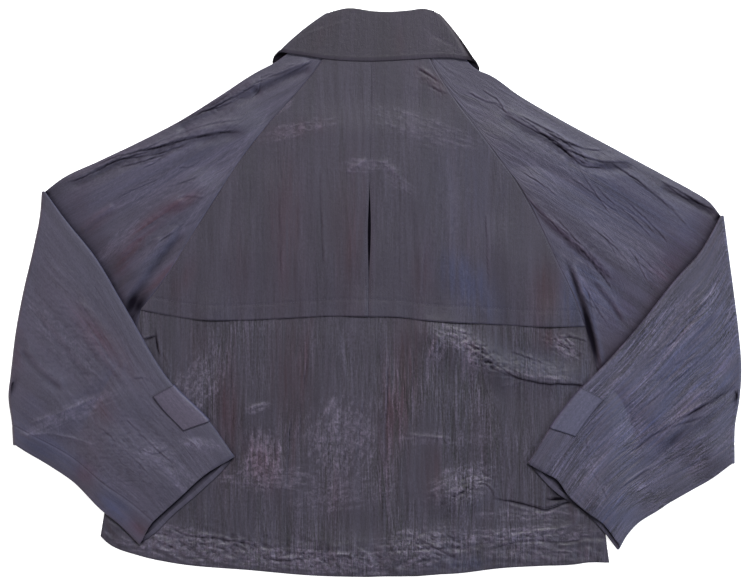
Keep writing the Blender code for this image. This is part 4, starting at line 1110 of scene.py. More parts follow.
def stitch_row(path, normals):
    """Corners of each stitch of a row along a path on the cloth."""
    reach = np.concatenate([[0.0], np.cumsum(np.linalg.norm(np.diff(path, axis=0), axis=1))])
    places = np.arange(STITCH["pitch"], reach[-1] - STITCH["pitch"], STITCH["pitch"])

    def read(places, rows):
        return np.stack([np.interp(places, reach, rows[:, k]) for k in range(3)], axis=-1)

    middle = read(places, path)
    up = unit(read(places, normals))
    along = unit(read(places + 1.0, path) - middle)
    aside = unit(np.cross(up, along))
    ends = along * STITCH["length"] / 2
    sides = aside * STITCH["width"] / 2
    top = up * STITCH["height"]
    return np.stack([middle - ends, middle + sides, middle + ends, middle - sides, middle + top], axis=1)


STITCH_FACES = [(0, 1, 4), (1, 2, 4), (2, 3, 4), (3, 0, 4), (3, 2, 1, 0)]


def stitches(name, rows):
    """One piece of all the stitches of a panel; a row is a path and the normals along it."""
    corners = np.concatenate([stitch_row(path, normals) for path, normals in rows])
    faces = []
    count = corners.shape[1]
    for first in range(0, count * len(corners), count):
        faces += [tuple(first + k for k in face) for face in STITCH_FACES]
    mesh = bpy.data.meshes.new(name)
    mesh.from_pydata((corners.reshape(-1, 3) * MM).tolist(), [], faces)
    piece = linked(name, mesh)
    piece.data.materials.append(thread_material())
    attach(piece, "root")
    return piece


def row_at(cloth, side, distance):
    """Path and normals on a shell at a distance from one side of its grid."""
    measured = edge_distances(cloth.base)[SIDE_NAMES.index(side)]
    points, normals = cloth.points, cloth.normals
    if side.endswith("row"):
        index = np.abs(measured - distance).argmin(axis=0)
        columns = np.arange(points.shape[1])
        return points[index, columns], normals[index, columns]
    index = np.abs(measured - distance).argmin(axis=1)
    rows = np.arange(points.shape[0])
    return points[rows, index], normals[rows, index]


# Colours of the cloth in linear values, the tints of the shot weave, and the tints of the painted highlights
# (pink over the red zones) and of the painted shade
CLOTH_COLOURS = {
    "body_cloth": (0.0288, 0.0242, 0.0392),
    "cape_cloth": (0.0292, 0.0242, 0.0405),
    "sleeve_cloth": (0.042, 0.037, 0.062),
    "tab_cloth": (0.056, 0.052, 0.084),
    "collar_cloth": (0.022, 0.017, 0.030),
}
RED_TINT = (1.0, 0.57, 0.60)
BLUE_TINT = (0.74, 1.0, 1.46)
SHINE_TINT = (3.8, 3.85, 3.5)
PINK_HIGHLIGHT_TINT = (5.1, 4.3, 3.9)
SHADE_TINT = (0.11, 0.10, 0.11)
THREAD_TINT = (2.0, 2.0, 2.0)
# Noise of the cloth: cell across the grain and along it in metres, detail and the detail's roughness
STREAKS = {
    "broad": (0.018, 0.20, 2.0, 0.55),
    "fine": (0.0026, 0.055, 2.0, 0.55),
    "speckle": (0.0020, 0.0034, 2.0, 0.55),
    "crumple": (0.0070, 0.0066, 6.0, 0.74),
    "pleats": (0.010, 0.11, 3.0, 0.55),
    "lit_pleats": (0.007, 0.12, 2.0, 0.55),
    "web": (0.013, 0.011, 3.0, 0.55),
    "cracks": (0.021, 0.015, 4.0, 0.55),
}
STREAK_DISTORTION = 0.35
# Sharpness of the lines that are drawn from some of them
LINE_SHARPNESS = {"pleats": 14.0, "lit_pleats": 14.0, "web": 13.0, "cracks": 18.0}
# Amounts of painted highlight and painted shade that these lines put into the cloth's colour
LIT = {"web": 0.12, "lit_pleats": 0.15}
DARKENED = {"pleats": 0.28, "cracks": 0.5}
TONES = {"fine": (0.2, 1.0), "speckle": (0.45, 1.0)}    # least, and more where it is crinkled
CRISP_RANGE = (0.2, 0.75, 0.40, 0.60)
BRIGHT_RANGE = (0.85, 1.15)
ROUGHNESS_RANGE = (0.42, 0.52)
SHINE_SMOOTHS = 0.12     # how much smoother the cloth is where it shines
MIRROR = 0.5
BUMP = {"weave": 0.02, "pleats": -0.22, "crumple": 0.3, "shine": 0.4}    # heights in millimetres
WEAVE = {"Scale": 620.0, "Distortion": 0.6, "Detail": 0.0}
CLOTH_FINISH = {"IOR": 1.45, "Sheen Weight": 0.1, "Sheen Roughness": 0.4}
THREAD_FIBRE = 900.0
THREAD_ROUGHNESS = 0.55
NOISE_RANGE = (0.28, 0.72)    # what a noise node's values mostly cover
MIX_SOCKETS = {"amount": 0, "first": 6, "second": 7, "result": 2}    # of a mix of colours


def tinted(slot, tint=(1.0, 1.0, 1.0)):
    """Colour of a slot's cloth under a tint."""
    return tuple(c * t for c, t in zip(CLOTH_COLOURS[slot], tint)) + (1.0,)


class Nodes:
    """Short ways to add and join the nodes of a material."""

    def __init__(self, name):
        self.material = bpy.data.materials.new(name)
        self.material.use_nodes = True
        self.tree = self.material.node_tree
        self.shader = self.tree.nodes["Principled BSDF"]

    def add(self, kind, **values):
        made = self.tree.nodes.new(kind)
        for key, value in values.items():
            setattr(made, key, value)
        return made

    def feed(self, value, socket):
        """Joins a socket to another, or sets it to a value."""
        if isinstance(value, bpy.types.NodeSocket):
            self.tree.links.new(value, socket)
        else:
            socket.default_value = value

    def set(self, node, values):
        """Sets some of a node's sockets."""
        for name, value in values.items():
            node.inputs[name].default_value = value

    def streaks(self, kind, grain):
        """Noise drawn out along the grain."""
        across, along, detail, roughness = STREAKS[kind]
        scaled = self.add("ShaderNodeMapping")
        self.set(scaled, {"Scale": (1.0 / across, 1.0 / along, 1.0)})
        self.feed(grain, scaled.inputs["Vector"])
        made = self.add("ShaderNodeTexNoise", noise_dimensions="2D")
        self.set(made, {"Scale": 1.0, "Detail": detail, "Roughness": roughness})
        self.set(made, {"Distortion": STREAK_DISTORTION})
        self.feed(scaled.outputs["Vector"], made.inputs["Vector"])
        return made.outputs["Fac"]

    def lines(self, kind, grain):
        """Thin lines where such a noise crosses its middle."""
        away = self.math("ABSOLUTE", self.math("SUBTRACT", self.streaks(kind, grain), 0.5), 0.0)
        return self.spread(away, 1.0, 0.0, 0.0, 1.0 / LINE_SHARPNESS[kind])

    def spread(self, value, low, high, start=NOISE_RANGE[0], end=NOISE_RANGE[1]):
        """Stretches a value from one range to another."""
        made = self.add("ShaderNodeMapRange")
        self.set(made, {"From Min": start, "From Max": end, "To Min": low, "To Max": high})
        self.feed(value, made.inputs["Value"])
        return made.outputs["Result"]

    def mixed(self, amount, first, second, blend="MIX"):
        """One colour over another by an amount."""
        made = self.add("ShaderNodeMix", data_type="RGBA", blend_type=blend)
        for key, value in (("amount", amount), ("first", first), ("second", second)):
            self.feed(value, made.inputs[MIX_SOCKETS[key]])
        return made.outputs[MIX_SOCKETS["result"]]

    def math(self, operation, first, second):
        made = self.add("ShaderNodeMath", operation=operation)
        self.feed(first, made.inputs[0])
        self.feed(second, made.inputs[1])
        return made.outputs["Value"]

    def times(self, first, second):
        return self.math("MULTIPLY", first, second)

    def plus(self, first, second):
        return self.math("ADD", first, second)


def cloth_material(slot):
    """Crinkled nylon: shot colours, pleats along the grain, crumples where it shines, weave and gloss.

    Highlights and shade are also painted into its colour.
    """
    name = slot + "_nylon"
    if name in bpy.data.materials:
        return bpy.data.materials[name]
    nodes = Nodes(name)
    grain = nodes.add("ShaderNodeUVMap", uv_map="grain").outputs["UV"]
    zones = nodes.add("ShaderNodeAttribute", attribute_name="zones")
    crinkle = nodes.add("ShaderNodeAttribute", attribute_name="crinkle").outputs["Fac"]
    split = nodes.add("ShaderNodeSeparateColor")
    nodes.feed(zones.outputs["Color"], split.inputs["Color"])
    red, blue, shine = (split.outputs[channel] for channel in ("Red", "Green", "Blue"))
    shade = zones.outputs["Alpha"]
    noises = {kind: nodes.streaks(kind, grain) for kind in ("broad", "fine", "speckle", "crumple")}
    lines = {kind: nodes.lines(kind, grain) for kind in LINE_SHARPNESS}

    colour = nodes.mixed(red, tinted(slot), tinted(slot, RED_TINT))
    colour = nodes.mixed(blue, colour, tinted(slot, BLUE_TINT))
    # Painted highlights: crumples and web lines where the zones shine, and lit pleat lines, mixed towards a
    # light tint, pink over the red zones
    crisp = nodes.plus(nodes.spread(noises["crumple"], *CRISP_RANGE), nodes.times(lines["web"], LIT["web"]))
    lit_pleats = nodes.times(nodes.times(lines["lit_pleats"], crinkle), LIT["lit_pleats"])
    glint = nodes.plus(nodes.times(shine, crisp), lit_pleats)
    highlight_colour = nodes.mixed(red, tinted(slot, SHINE_TINT), tinted(slot, PINK_HIGHLIGHT_TINT))
    colour = nodes.mixed(glint, colour, highlight_colour)
    # Painted shade: dark pleat lines, dark cracks where it shines, and the zones' shade
    folded = nodes.times(lines["pleats"], nodes.times(crinkle, DARKENED["pleats"]))
    cracked = nodes.times(lines["cracks"], nodes.times(shine, DARKENED["cracks"]))
    dark = nodes.math("MAXIMUM", nodes.plus(folded, cracked), shade)
    bright = nodes.spread(noises["broad"], *BRIGHT_RANGE)
    for kind, (least, more) in TONES.items():
        strength = nodes.plus(nodes.times(crinkle, more), least)
        bright = nodes.plus(bright, nodes.times(nodes.math("SUBTRACT", noises[kind], 0.5), strength))
    tone = nodes.add("ShaderNodeCombineColor")
    for socket in ("Red", "Green", "Blue"):
        nodes.feed(bright, tone.inputs[socket])
    colour = nodes.mixed(1.0, colour, tone.outputs["Color"], "MULTIPLY")
    colour = nodes.mixed(dark, colour, tinted(slot, SHADE_TINT))
    nodes.feed(colour, nodes.shader.inputs["Base Color"])

    weave = []
    for direction in ("X", "Y"):
        threads = nodes.add("ShaderNodeTexWave", wave_type="BANDS", bands_direction=direction)
        nodes.set(threads, WEAVE)
        nodes.feed(grain, threads.inputs["Vector"])
        weave.append(threads.outputs["Fac"])
    woven = nodes.times(nodes.plus(*weave), BUMP["weave"])
    pleated = nodes.times(lines["pleats"], nodes.times(crinkle, BUMP["pleats"]))
    crumpled = nodes.plus(nodes.times(shine, BUMP["shine"]), BUMP["crumple"])
    crumpled = nodes.times(noises["crumple"], crumpled)
    bump = nodes.add("ShaderNodeBump")
    nodes.set(bump, {"Strength": 1.0, "Distance": MM})
    nodes.feed(nodes.plus(nodes.plus(pleated, crumpled), woven), bump.inputs["Height"])
    nodes.feed(bump.outputs["Normal"], nodes.shader.inputs["Normal"])
    rough = nodes.spread(noises["fine"], *ROUGHNESS_RANGE)
    rough = nodes.math("SUBTRACT", rough, nodes.times(shine, SHINE_SMOOTHS))
    nodes.feed(rough, nodes.shader.inputs["Roughness"])
    # The specular is cut where shade is painted, so that the painted shade stays dark
    mirror = nodes.times(nodes.math("SUBTRACT", 1.0, shade), MIRROR)
    nodes.feed(mirror, nodes.shader.inputs["Specular IOR Level"])
    nodes.set(nodes.shader, CLOTH_FINISH)
    return nodes.material


def thread_material():
    """Sewing thread, a little lighter than the cloth."""
    if "thread" in bpy.data.materials:
        return bpy.data.materials["thread"]
    nodes = Nodes("thread")
    place = nodes.add("ShaderNodeTexCoord").outputs["Object"]
    fibre = nodes.add("ShaderNodeTexNoise")
    nodes.set(fibre, {"Scale": THREAD_FIBRE})
    nodes.feed(place, fibre.inputs["Vector"])
    colour = nodes.mixed(fibre.outputs["Fac"], tinted("body_cloth"), tinted("body_cloth", THREAD_TINT))
    nodes.feed(colour, nodes.shader.inputs["Base Color"])
    nodes.set(nodes.shader, {"Roughness": THREAD_ROUGHNESS})
    return nodes.material


def half_body(side):
    """Plan of one half of the back: first from the neck to the cape's edge, then on to the hem."""
    neck_centre, vent_top, cape_centre, hem_centre = CENTRE_BACK
    upper = panel(
        edge(side["raglan_top"], [], neck_centre),
        edge(side["cape_corner"], side["cape_hem"], cape_centre),
        edge(side["raglan_top"], side["raglan"], side["cape_corner"]),
        edge(neck_centre, [vent_top], cape_centre),
    )
    lower = panel(
        edge(side["cape_corner"], side["cape_hem"], cape_centre),
        edge(side["hem_corner"], side["hem"], hem_centre),
        edge(side["cape_corner"], [side["armpit"], *side["side_seam"]], side["hem_corner"]),
        edge(cape_centre, [], hem_centre),
    )
    return upper, lower


HALF_WIDTH = 285
CAPE_LENGTH = 340
LOWER_LENGTH = 312


def back():
    """Back panel from the neck to the turned hem."""
    columns = shares(HALF_WIDTH, FINEST)
    halves = []
    for side in SIDES.values():
        upper, lower = half_body(side)
        above = upper(*grid(shares(CAPE_LENGTH, COARSE)[:-1], columns))
        below = lower(*grid(shares(LOWER_LENGTH, FINEST), columns))
        halves.append(np.concatenate([above, below]))
    plan = np.concatenate([halves[0], halves[1][:, -2::-1]], axis=1)
    base = solid_points(plan, back_height(plan))
    _, from_hem, from_left, from_right = edge_distances(base)
    inside = smooth(from_left / SEAM_FADE) * smooth(from_right / SEAM_FADE)
    x = plan[..., 0]
    pucker, ripple = HEM_PUCKER, HEM_RIPPLE
    along_hem = x / pucker["length"] + from_hem / pucker["slant"]
    wave = noise(along_hem, from_hem / pucker["pitch"], SEEDS["hem_pucker"])
    swell = 1.0 - RIDGE_SHARPNESS * np.abs(wave)
    swell += ripple["share"] * noise(x / ripple["length"], from_hem / ripple["pitch"], SEEDS["hem_ripple"])
    at_hem = smooth((pucker["reach"] - from_hem) / pucker["fade"])
    swell *= pucker["height"] * at_hem * smooth(from_hem / pucker["edge"])
    under_cape = smooth((from_hem - LOWER_LENGTH + UNDER_CAPE["below"]) / -UNDER_CAPE["fade"])
    height, zones = creased("back", plan, plan, SEEDS["back"])
    # Painted shadow: a dark line on the back just below the cape's free edge
    below_cape = run_lengths(base, 0)
    below_cape = below_cape - below_cape[len(above)]
    line = uneven("cape_shadow_line", line_noise(x / CAPE_SHADOW_LINE["pitch"], SEEDS["cape_shadow_line"]))
    deepen(zones, line * bell(below_cape, CAPE_SHADOW_LINE["half_width"]))
    # Painted shade on the back under the vent's slit
    in_vent = smooth((VENT_TOP + VENT_SHADE["above"] - plan[..., 1]) / VENT_SHADE["fade"])
    in_vent = in_vent * (plan[..., 1] > VENT_SHADE["foot"])
    deepen(zones, in_vent * bell(x - VENT_SHADE["x"], VENT_SHADE["half_width"]))
    lift = inside * under_cape * (height + crinkle_heights("body", plan, SEEDS["back_crinkle"]) + swell)
    lift = lift + sewn_dip("hem", from_hem - HEM_STITCH)
    cloth = Cloth(
        "back", "body_cloth", base, plan, lift, zones,
        crinkle=pleat_strength("back", plan, plan, SEEDS["back_pleats"]), rims=["last_row"],
    )
    sewn = stitches("back_stitches", [row_at(cloth, "last_row", HEM_STITCH)])


def cape(name):
    """One half of the cape over the back, with its side of the vent."""
    side = SIDES[name]
    upper, _ = half_body(side)
    drop, across = grid(shares(CAPE_LENGTH, FINE), shares(HALF_WIDTH, FINE))
    plan = upper(drop, across)
    at_centre = plan[:, -1, 1]
    opening = np.clip((VENT_TOP - at_centre) / (VENT_TOP - VENT_FOOT), 0.0, 1.0)
    half_gap = SEAM / 2 + VENT_HALF_WIDTH * np.sin(math.pi * opening) ** 2
    from_centre = run_lengths(plan[:, ::-1], 1)[:, ::-1]
    plan[..., 0] += side["hand"] * half_gap[:, None] * bell(from_centre, VENT_REACH)
    base = solid_points(plan, cape_height(plan, drop) + cape_flutter(plan, drop))
    height, zones = creased("cape", plan, plan, SEEDS["cape"])
    from_neck, from_hem, from_raglan, from_vent = edge_distances(base)
    inside = smooth(from_raglan / SEAM_FADE) * smooth(from_vent / VENT_FADE) * smooth(from_neck / SEAM_FADE)
    pulled = sewn_dip("cape", from_hem - CAPE_STITCH)
    pulled -= VENT_DIP["depth"] * np.sqrt(opening)[:, None] * bell(from_vent, VENT_DIP["half_width"])
    lift = inside * (height + CAPE_CRINKLE * crinkle_heights("body", plan, SEEDS["cape_crinkle"])) + pulled
    cloth = Cloth(
        "cape_" + name, "cape_cloth", base, plan, lift, zones,
        crinkle=pleat_strength("cape", plan, plan, SEEDS["cape_pleats"]),
        seams=["first_row", "first_column"], rims=["last_row"], flip=side["hand"] > 0,
    )
    raglan, vent = "first_column", "last_column"
    if side["hand"] > 0:
        raglan, vent = vent, raglan
    rows = [row_at(cloth, "last_row", CAPE_STITCH)]
    rows += [row_at(cloth, seam, SEAM_STITCH) for seam in (raglan, vent)]
    stitches(f"cape_{name}_stitches", rows)


def front(name):
    """One front, flat on the floor; the right one rises over the edge of the left one."""
    side = SIDES[name]
    hand = side["hand"]
    edge_x = FRONT_OVERLAP_EDGES[name]
    left_edge_x = FRONT_OVERLAP_EDGES["left"] + OVERLAP_MARGIN
    strip_x = hand * FRONT_STRIP
    hem_y = CENTRE_BACK[-1][1]
    hem_rows = [row for row in side["hem"] if abs(row[0]) > FRONT_STRIP + FRONT_STRIP_MARGIN]
    outer_neck, strip_neck, inner_neck = side["front_neck"]
    outer = chain(
        edge(side["front_raglan_top"], side["front_raglan"], side["armpit"]),
        edge(side["armpit"], side["side_seam"], side["hem_corner"]),
    )
    main = panel(
        edge(side["front_raglan_top"], [outer_neck], strip_neck),
        edge(side["hem_corner"], hem_rows, (strip_x, hem_y)),
        outer,
        edge(strip_neck, [], (strip_x, hem_y)),
    )
    strip = panel(
        edge(strip_neck, [inner_neck], (edge_x, FRONT_NECK_DEPTH)),
        edge((strip_x, hem_y), [], (edge_x, hem_y)),
        edge(strip_neck, [], (strip_x, hem_y)),
        edge((edge_x, FRONT_NECK_DEPTH), [], (edge_x, hem_y)),
    )
    rows = shares(outer.length, 2 * MEDIUM)
    wide = main(*grid(rows, shares(HALF_WIDTH, 2 * MEDIUM)))
    plan = np.concatenate([wide, strip(*grid(rows, shares(FRONT_STRIP, 2 * MEDIUM)[1:]))], axis=1)
    base = solid_points(plan, floor_height(plan))
    if hand > 0:
        base[..., 2] += LAYER * smooth((strip_x - plan[..., 0]) / (strip_x - left_edge_x))
    lift = np.minimum(FRONT_CRINKLE * crinkle_heights("body", plan, SEEDS["front_crinkle"]), 0.0) - 2 * OUTER
    zones = np.zeros(plan.shape[:-1] + (4,))
    cloth = Cloth("front_" + name, "body_cloth", base, plan, lift, zones, flip=hand > 0)


ELBOW_STEPS = np.linspace(0.0, 1.0, 10)[1:-1]
EDGE_ANGLES = np.linspace(0.0, math.pi, 9)[1:-1]
RAGLAN_SHARES = (1 / 13, 11 / 12)    # of the sleeve's start, at the raglan's top and at the cape's corner
UPPER_LENGTH = 370
SLEEVE_LENGTH = 390
UPPER_WIDTH = 420
LOWER_WIDTH = 290
EDGE_STEP = 0.02
TURN_STEP = 0.01         # share along the crease that gives its direction
END_FADES = {"upper": 0.03, "lower": 0.06}    # share of a stage over which its creases start
SIDE_FADE = 0.03         # share of the upper sleeve's width over which they end
# painted shade inside a cuff, where its upper layer ends short of the lower one
CUFF_SHADE = {"reach": 5, "amount": 0.95}     # of the dark inside a cuff
# brown tint and shade painted beside the folded sleeve's inner edge, and the painted shade line along that
# edge
FOLD_SHADE = {"left": (0.1, 0.42), "right": (0.4, 0.45)}    # red and shade beside the folded sleeve
FOLD_PATH_SHARES = np.linspace(0.0, 1.0, 9)
FOLD_REACH = {"red": 22, "shade": 24, "line": 5}
FOLD_LINE = 0.4          # shade of the line along its edge
# red, blue, painted highlight and painted shade of each tab
TAB_ZONES = {"left": (0.3, 0.0, 0.02, 0.0), "right": (0.0, 0.22, 0.06, 0.0)}


def crown(v):
    """Round rise across a flattened tube, 0 at its edges and 1 in the middle."""
    return np.sqrt(np.clip(4.0 * v * (1.0 - v), 0.0, 1.0))


class Sleeve:
    """Middle surfaces of one sleeve's two layers, from the raglan seam round the elbow to the cuff."""

    def __init__(self, name):
        self.name = name
        self.side = SIDES[name]
        side = self.side
        crease = edge(side["tip"], side["crease"], side["elbow"])
        shoulder = edge(side["neck_side"], side["shoulder"], side["tip"])
        underarm = edge(side["armpit"], side["underarm"], side["elbow"])
        top_share, corner_share = RAGLAN_SHARES
        beside_body = chain(
            edge(side["raglan_top"], side["raglan"], side["cape_corner"]),
            edge(side["cape_corner"], [], side["armpit"]),
            corner_share,
        )
        back_start = chain(edge(side["neck_side"], [], side["raglan_top"]), beside_body, top_share)
        front_start = chain(
            edge(side["neck_side"], [], side["front_raglan_top"]),
            edge(side["front_raglan_top"], side["front_raglan"], side["armpit"]),
            top_share,
        )
        self.crease = crease
        self.inner = edge(side["tip"], side["inner_edge"], side["cuff_inner"])
        self.upper = {
            "back": panel(back_start, crease, shoulder, underarm),
            "front": panel(front_start, crease, shoulder, underarm),
        }
        self.lower = {}
        for layer in ("back", "front"):
            corner = side["cuff_corners"][layer]
            cuff = edge(side["cuff_inner"], side["cuff_" + layer], corner)
            outer = edge(side["elbow"], side["outer_edge"], corner)
            self.lower[layer] = panel(crease, cuff, self.inner, outer)

    def drooped(self, plan):
        """1 where the folded sleeve reaches past the body and the upper sleeve down to the floor."""
        side = self.side
        armpit = np.array(side["armpit"], float)
        distances = []
        for foot, turn in ((side["elbow"], side["hand"]), (side["hem_corner"], -side["hand"])):
            run = np.array(foot, float) - armpit
            normal = turn * np.array([run[1], -run[0]]) / np.linalg.norm(run)
            distances.append((plan - armpit) @ normal)
        return smooth(np.minimum(*distances) / DROOP_FADE)

    def upper_points(self, layer, u, v):
        """Middle of a layer of the upper sleeve at shares u along it and v across it."""
        plan = self.upper[layer](u, v)
        if layer == "front":
            return solid_points(plan, floor_height(plan))
        base = self.upper_points("front", u, v)[..., 2]
        clear = clear_of_sleeve(plan, self.side)
        free = 1.0 - collar_share(plan)
        fade_out = smooth((1.0 - u) / ELBOW_FADE)
        loft = crown(v) * fade_out * free * clear * (UPPER_LOFT + fold_heights(self.name + "_upper", plan))
        at_raglan = (LAYER * 2 - SLEEVE_GAP) * (1.0 - u) ** 3 * free
        lowest = np.maximum(base, floor_height(plan)) + SLEEVE_GAP
        return solid_points(plan, lowest + np.maximum(loft, at_raglan))

    def turn_points(self, layer, angle, v):
        """Middle of a layer as it turns back on itself at the elbow crease."""
        axis = self.crease(v)
        run = self.crease(np.minimum(v + TURN_STEP, 1.0)) - self.crease(np.maximum(v - TURN_STEP, 0.0))
        run = unit(run)
        outward = self.side["hand"] * np.stack([-run[..., 1], run[..., 0]], axis=-1)
        radius = ELBOW_RADIUS + (SLEEVE_GAP if layer == "front" else 0.0)
        middle = FLOOR + SLEEVE_GAP + ELBOW_RADIUS
        plan = axis + outward * (radius * np.sin(angle))[..., None]
        return solid_points(plan, middle - radius * np.cos(angle))

    def lower_points(self, layer, u, v):
        """Middle of a layer of the folded lower sleeve."""
        resting = FLOOR + SLEEVE_GAP + 2 * ELBOW_RADIUS
        plan = self.lower[layer](u, v)
        under = self.lower["back"](u, v)
        height = resting - (resting - FLOOR - SEAM) * self.drooped(under)
        if layer == "front":
            loft = crown(v) * smooth(u / ELBOW_FADE) * (LOWER_LOFT + fold_heights(self.name + "_lower", plan))
            height = height + SLEEVE_GAP + loft
        return solid_points(plan, height)

    def layer_points(self, layer, stations, v):
        """Rows of a layer's points; each station is a stage and its share, with its own shares v across."""
        rows = []
        for (stage, share), across in zip(stations, v):
            along = np.broadcast_to(share, across.shape)
            if stage == "upper":
                rows.append(self.upper_points(layer, along, across))
            elif stage == "turn":
                rows.append(self.turn_points(layer, math.pi * along, across))
            else:
                rows.append(self.lower_points(layer, along, across))
        return np.array(rows)

    def seam_shares(self, stations):
        """Shares across the front layer where the overarm and underarm seams run."""
        found = []
        for stage, share in stations:
            first, last = ("elbow", "cuff") if stage == "lower" else ("raglan", "elbow")
            reach = 1.0 if stage == "turn" else share
            offset = SEAM_OFFSET[first] + (SEAM_OFFSET[last] - SEAM_OFFSET[first]) * reach
            ends = self.layer_points("front", [(stage, share)], [np.array([0.0, 1.0])])[0]
            found.append(offset / np.linalg.norm(ends[1] - ends[0]))
        return np.array(found)

    def round_edge(self, stations, side_share, angles):
        """Half-round turn that joins the two layers at an edge of the flattened tube."""
        inside = abs(side_share - EDGE_STEP)
        count = len(stations)
        back_edge = self.layer_points("back", stations, np.full((count, 1), side_share))[:, 0]
        front_edge = self.layer_points("front", stations, np.full((count, 1), side_share))[:, 0]
        within = self.layer_points("back", stations, np.full((count, 1), inside))[:, 0]
        outward = unit((back_edge - within) * [1, 1, 0])
        middle = (back_edge + front_edge) / 2
        half = (front_edge - back_edge) / 2
        bulge = outward * np.linalg.norm(half, axis=1, keepdims=True)
        return np.stack([middle - half * math.cos(a) + bulge * math.sin(a) for a in angles], axis=1)

    def stations(self, upper_cell, lower_cell):
        """Stations from the raglan seam to the cuff."""
        upper = [("upper", s) for s in shares(UPPER_LENGTH, upper_cell)]
        turn = [("turn", s) for s in ELBOW_STEPS]
        return upper + turn + [("lower", s) for s in shares(SLEEVE_LENGTH, lower_cell)]

    def dressed(self, base, stations, v, on_front):
        """Grain, lift and zones of a grid with shares v across; on_front marks columns on the front layer."""
        stage = np.array([s for s, _ in stations])
        share = np.array([s for _, s in stations])
        lower = stage == "lower"
        along = np.where(stage == "upper", share * UPPER_LENGTH, UPPER_LENGTH)
        along = along + np.where(lower, share * SLEEVE_LENGTH, 0.0)
        grain = np.stack([v * LOWER_WIDTH, np.broadcast_to(along[:, None], v.shape)], axis=-1)
        lift = np.zeros(v.shape)
        zones = np.zeros(v.shape + (4,))
        seed = SEEDS[self.name]
        for layer, rows, columns in (("upper", stage == "upper", ~on_front), ("lower", lower, on_front)):
            if not columns.any():
                continue
            part = np.ix_(rows, columns)
            plan = base[..., :2][part]
            name = f"{self.name}_{layer}"
            fade = smooth(share[rows] / END_FADES[layer])[:, None]
            if layer == "upper":
                fade = fade * smooth(v[part] / SIDE_FADE) * smooth((1.0 - v[part]) / SIDE_FADE)
            height, zones[part] = creased(name, plan, grain[part], seed + SEED_STEPS["sleeve_zones"])
            lift[part] = fade * (height + CRINKLED[name] * crinkle_heights("sleeve", grain[part], seed))
            if layer == "upper":
                self.shade_beside_fold(zones, part, plan)
        self.shade_in_cuff(zones, np.ix_(lower, ~on_front), base)
        return grain, lift, zones

    def pleats(self, layer, base, grain):
        """Strength of the finest pleats on the upper or the lower sleeve."""
        return pleat_strength(f"{self.name}_{layer}", base[..., :2], grain, SEEDS[layer + "_pleats"])

    def shade_in_cuff(self, zones, part, base):
        """Paints shade on the inside of the sleeve where the cuff's upper layer ends short of the lower one.
        """
        plan = base[..., :2][part]
        side = self.side
        path = np.array([side["cuff_inner"], *side["cuff_front"], side["cuff_corners"]["front"]], float)
        aside, _, _ = along_path(plan.reshape(-1, 2), path)
        block = zones[part]
        deepen(block, CUFF_SHADE["amount"] * bell(aside.reshape(plan.shape[:-1]), CUFF_SHADE["reach"]))
        zones[part] = block

    def shade_beside_fold(self, zones, part, plan):
        """Paints shade, with a brown tint, on the upper sleeve beside the folded sleeve's inner edge, where
        it sinks.
        """
        path = self.inner(FOLD_PATH_SHARES)
        aside, _, _ = along_path(plan.reshape(-1, 2), path)
        distance = np.abs(aside.reshape(plan.shape[:-1]))
        block = zones[part]
        brown, deep = FOLD_SHADE[self.name]
        block[..., RED_ZONE] = np.maximum(block[..., RED_ZONE], brown * peak(distance, FOLD_REACH["red"]))
        deep = deep * peak(distance, FOLD_REACH["shade"])
        deepen(block, deep + FOLD_LINE * peak(distance, FOLD_REACH["line"]))
        zones[part] = block


STRIP_SHARES = np.linspace(1.0, 0.0, 13)
SHOWN_SHARE = 0.6        # of the upper sleeve's width, past which the folded sleeve covers most of it
TAB_STRIP_SHARES = np.linspace(1.0, 0.0, 31)
TAB_CRINKLE = 0.5        # share of the collar's crinkle
# painted shade along the tab's edges
TAB_EDGE = {"shade": 0.6, "reach": 1.1}


def sleeve_back(sleeve):
    """Back half of a sleeve: its back layer, and the strips that turn round both edges to the seams."""
    stations = sleeve.stations(FINEST, 2 * MEDIUM)
    strip = sleeve.seam_shares(stations)[:, None] * STRIP_SHARES
    shown = SHOWN_SHARE * shares(SHOWN_SHARE * UPPER_WIDTH, FINEST)
    rest = 1.0 - SHOWN_SHARE
    hidden = SHOWN_SHARE + rest * shares(rest * UPPER_WIDTH, 1.5 * MEDIUM)
    across = np.tile(np.concatenate([shown, hidden[1:]]), (len(stations), 1))
    count = len(stations)
    turn = np.ones((count, len(EDGE_ANGLES)))
    columns = [
        sleeve.layer_points("front", stations, strip),
        sleeve.round_edge(stations, 0.0, EDGE_ANGLES[::-1]),
        sleeve.layer_points("back", stations, across),
        sleeve.round_edge(stations, 1.0, EDGE_ANGLES),
        sleeve.layer_points("front", stations, 1.0 - strip[:, ::-1]),
    ]
    v = np.concatenate([strip, 0.0 * turn, across, turn, 1.0 - strip[:, ::-1]], axis=1)
    edge_count = strip.shape[1] + len(EDGE_ANGLES)
    on_front = np.zeros(v.shape[1], bool)
    on_front[:edge_count] = True
    on_front[-edge_count:] = True
    base = np.concatenate(columns, axis=1)
    grain, lift, zones = sleeve.dressed(base, stations, v, on_front)
    hand = sleeve.side["hand"]
    cloth = Cloth(
        "sleeve_back_" + sleeve.name, "sleeve_cloth", base, grain, lift, zones,
        crinkle=np.where(on_front, *(sleeve.pleats(layer, base, grain) for layer in ("lower", "upper"))),
        seams=["first_row", "last_column"], rims=["last_row"], flip=hand > 0,
    )


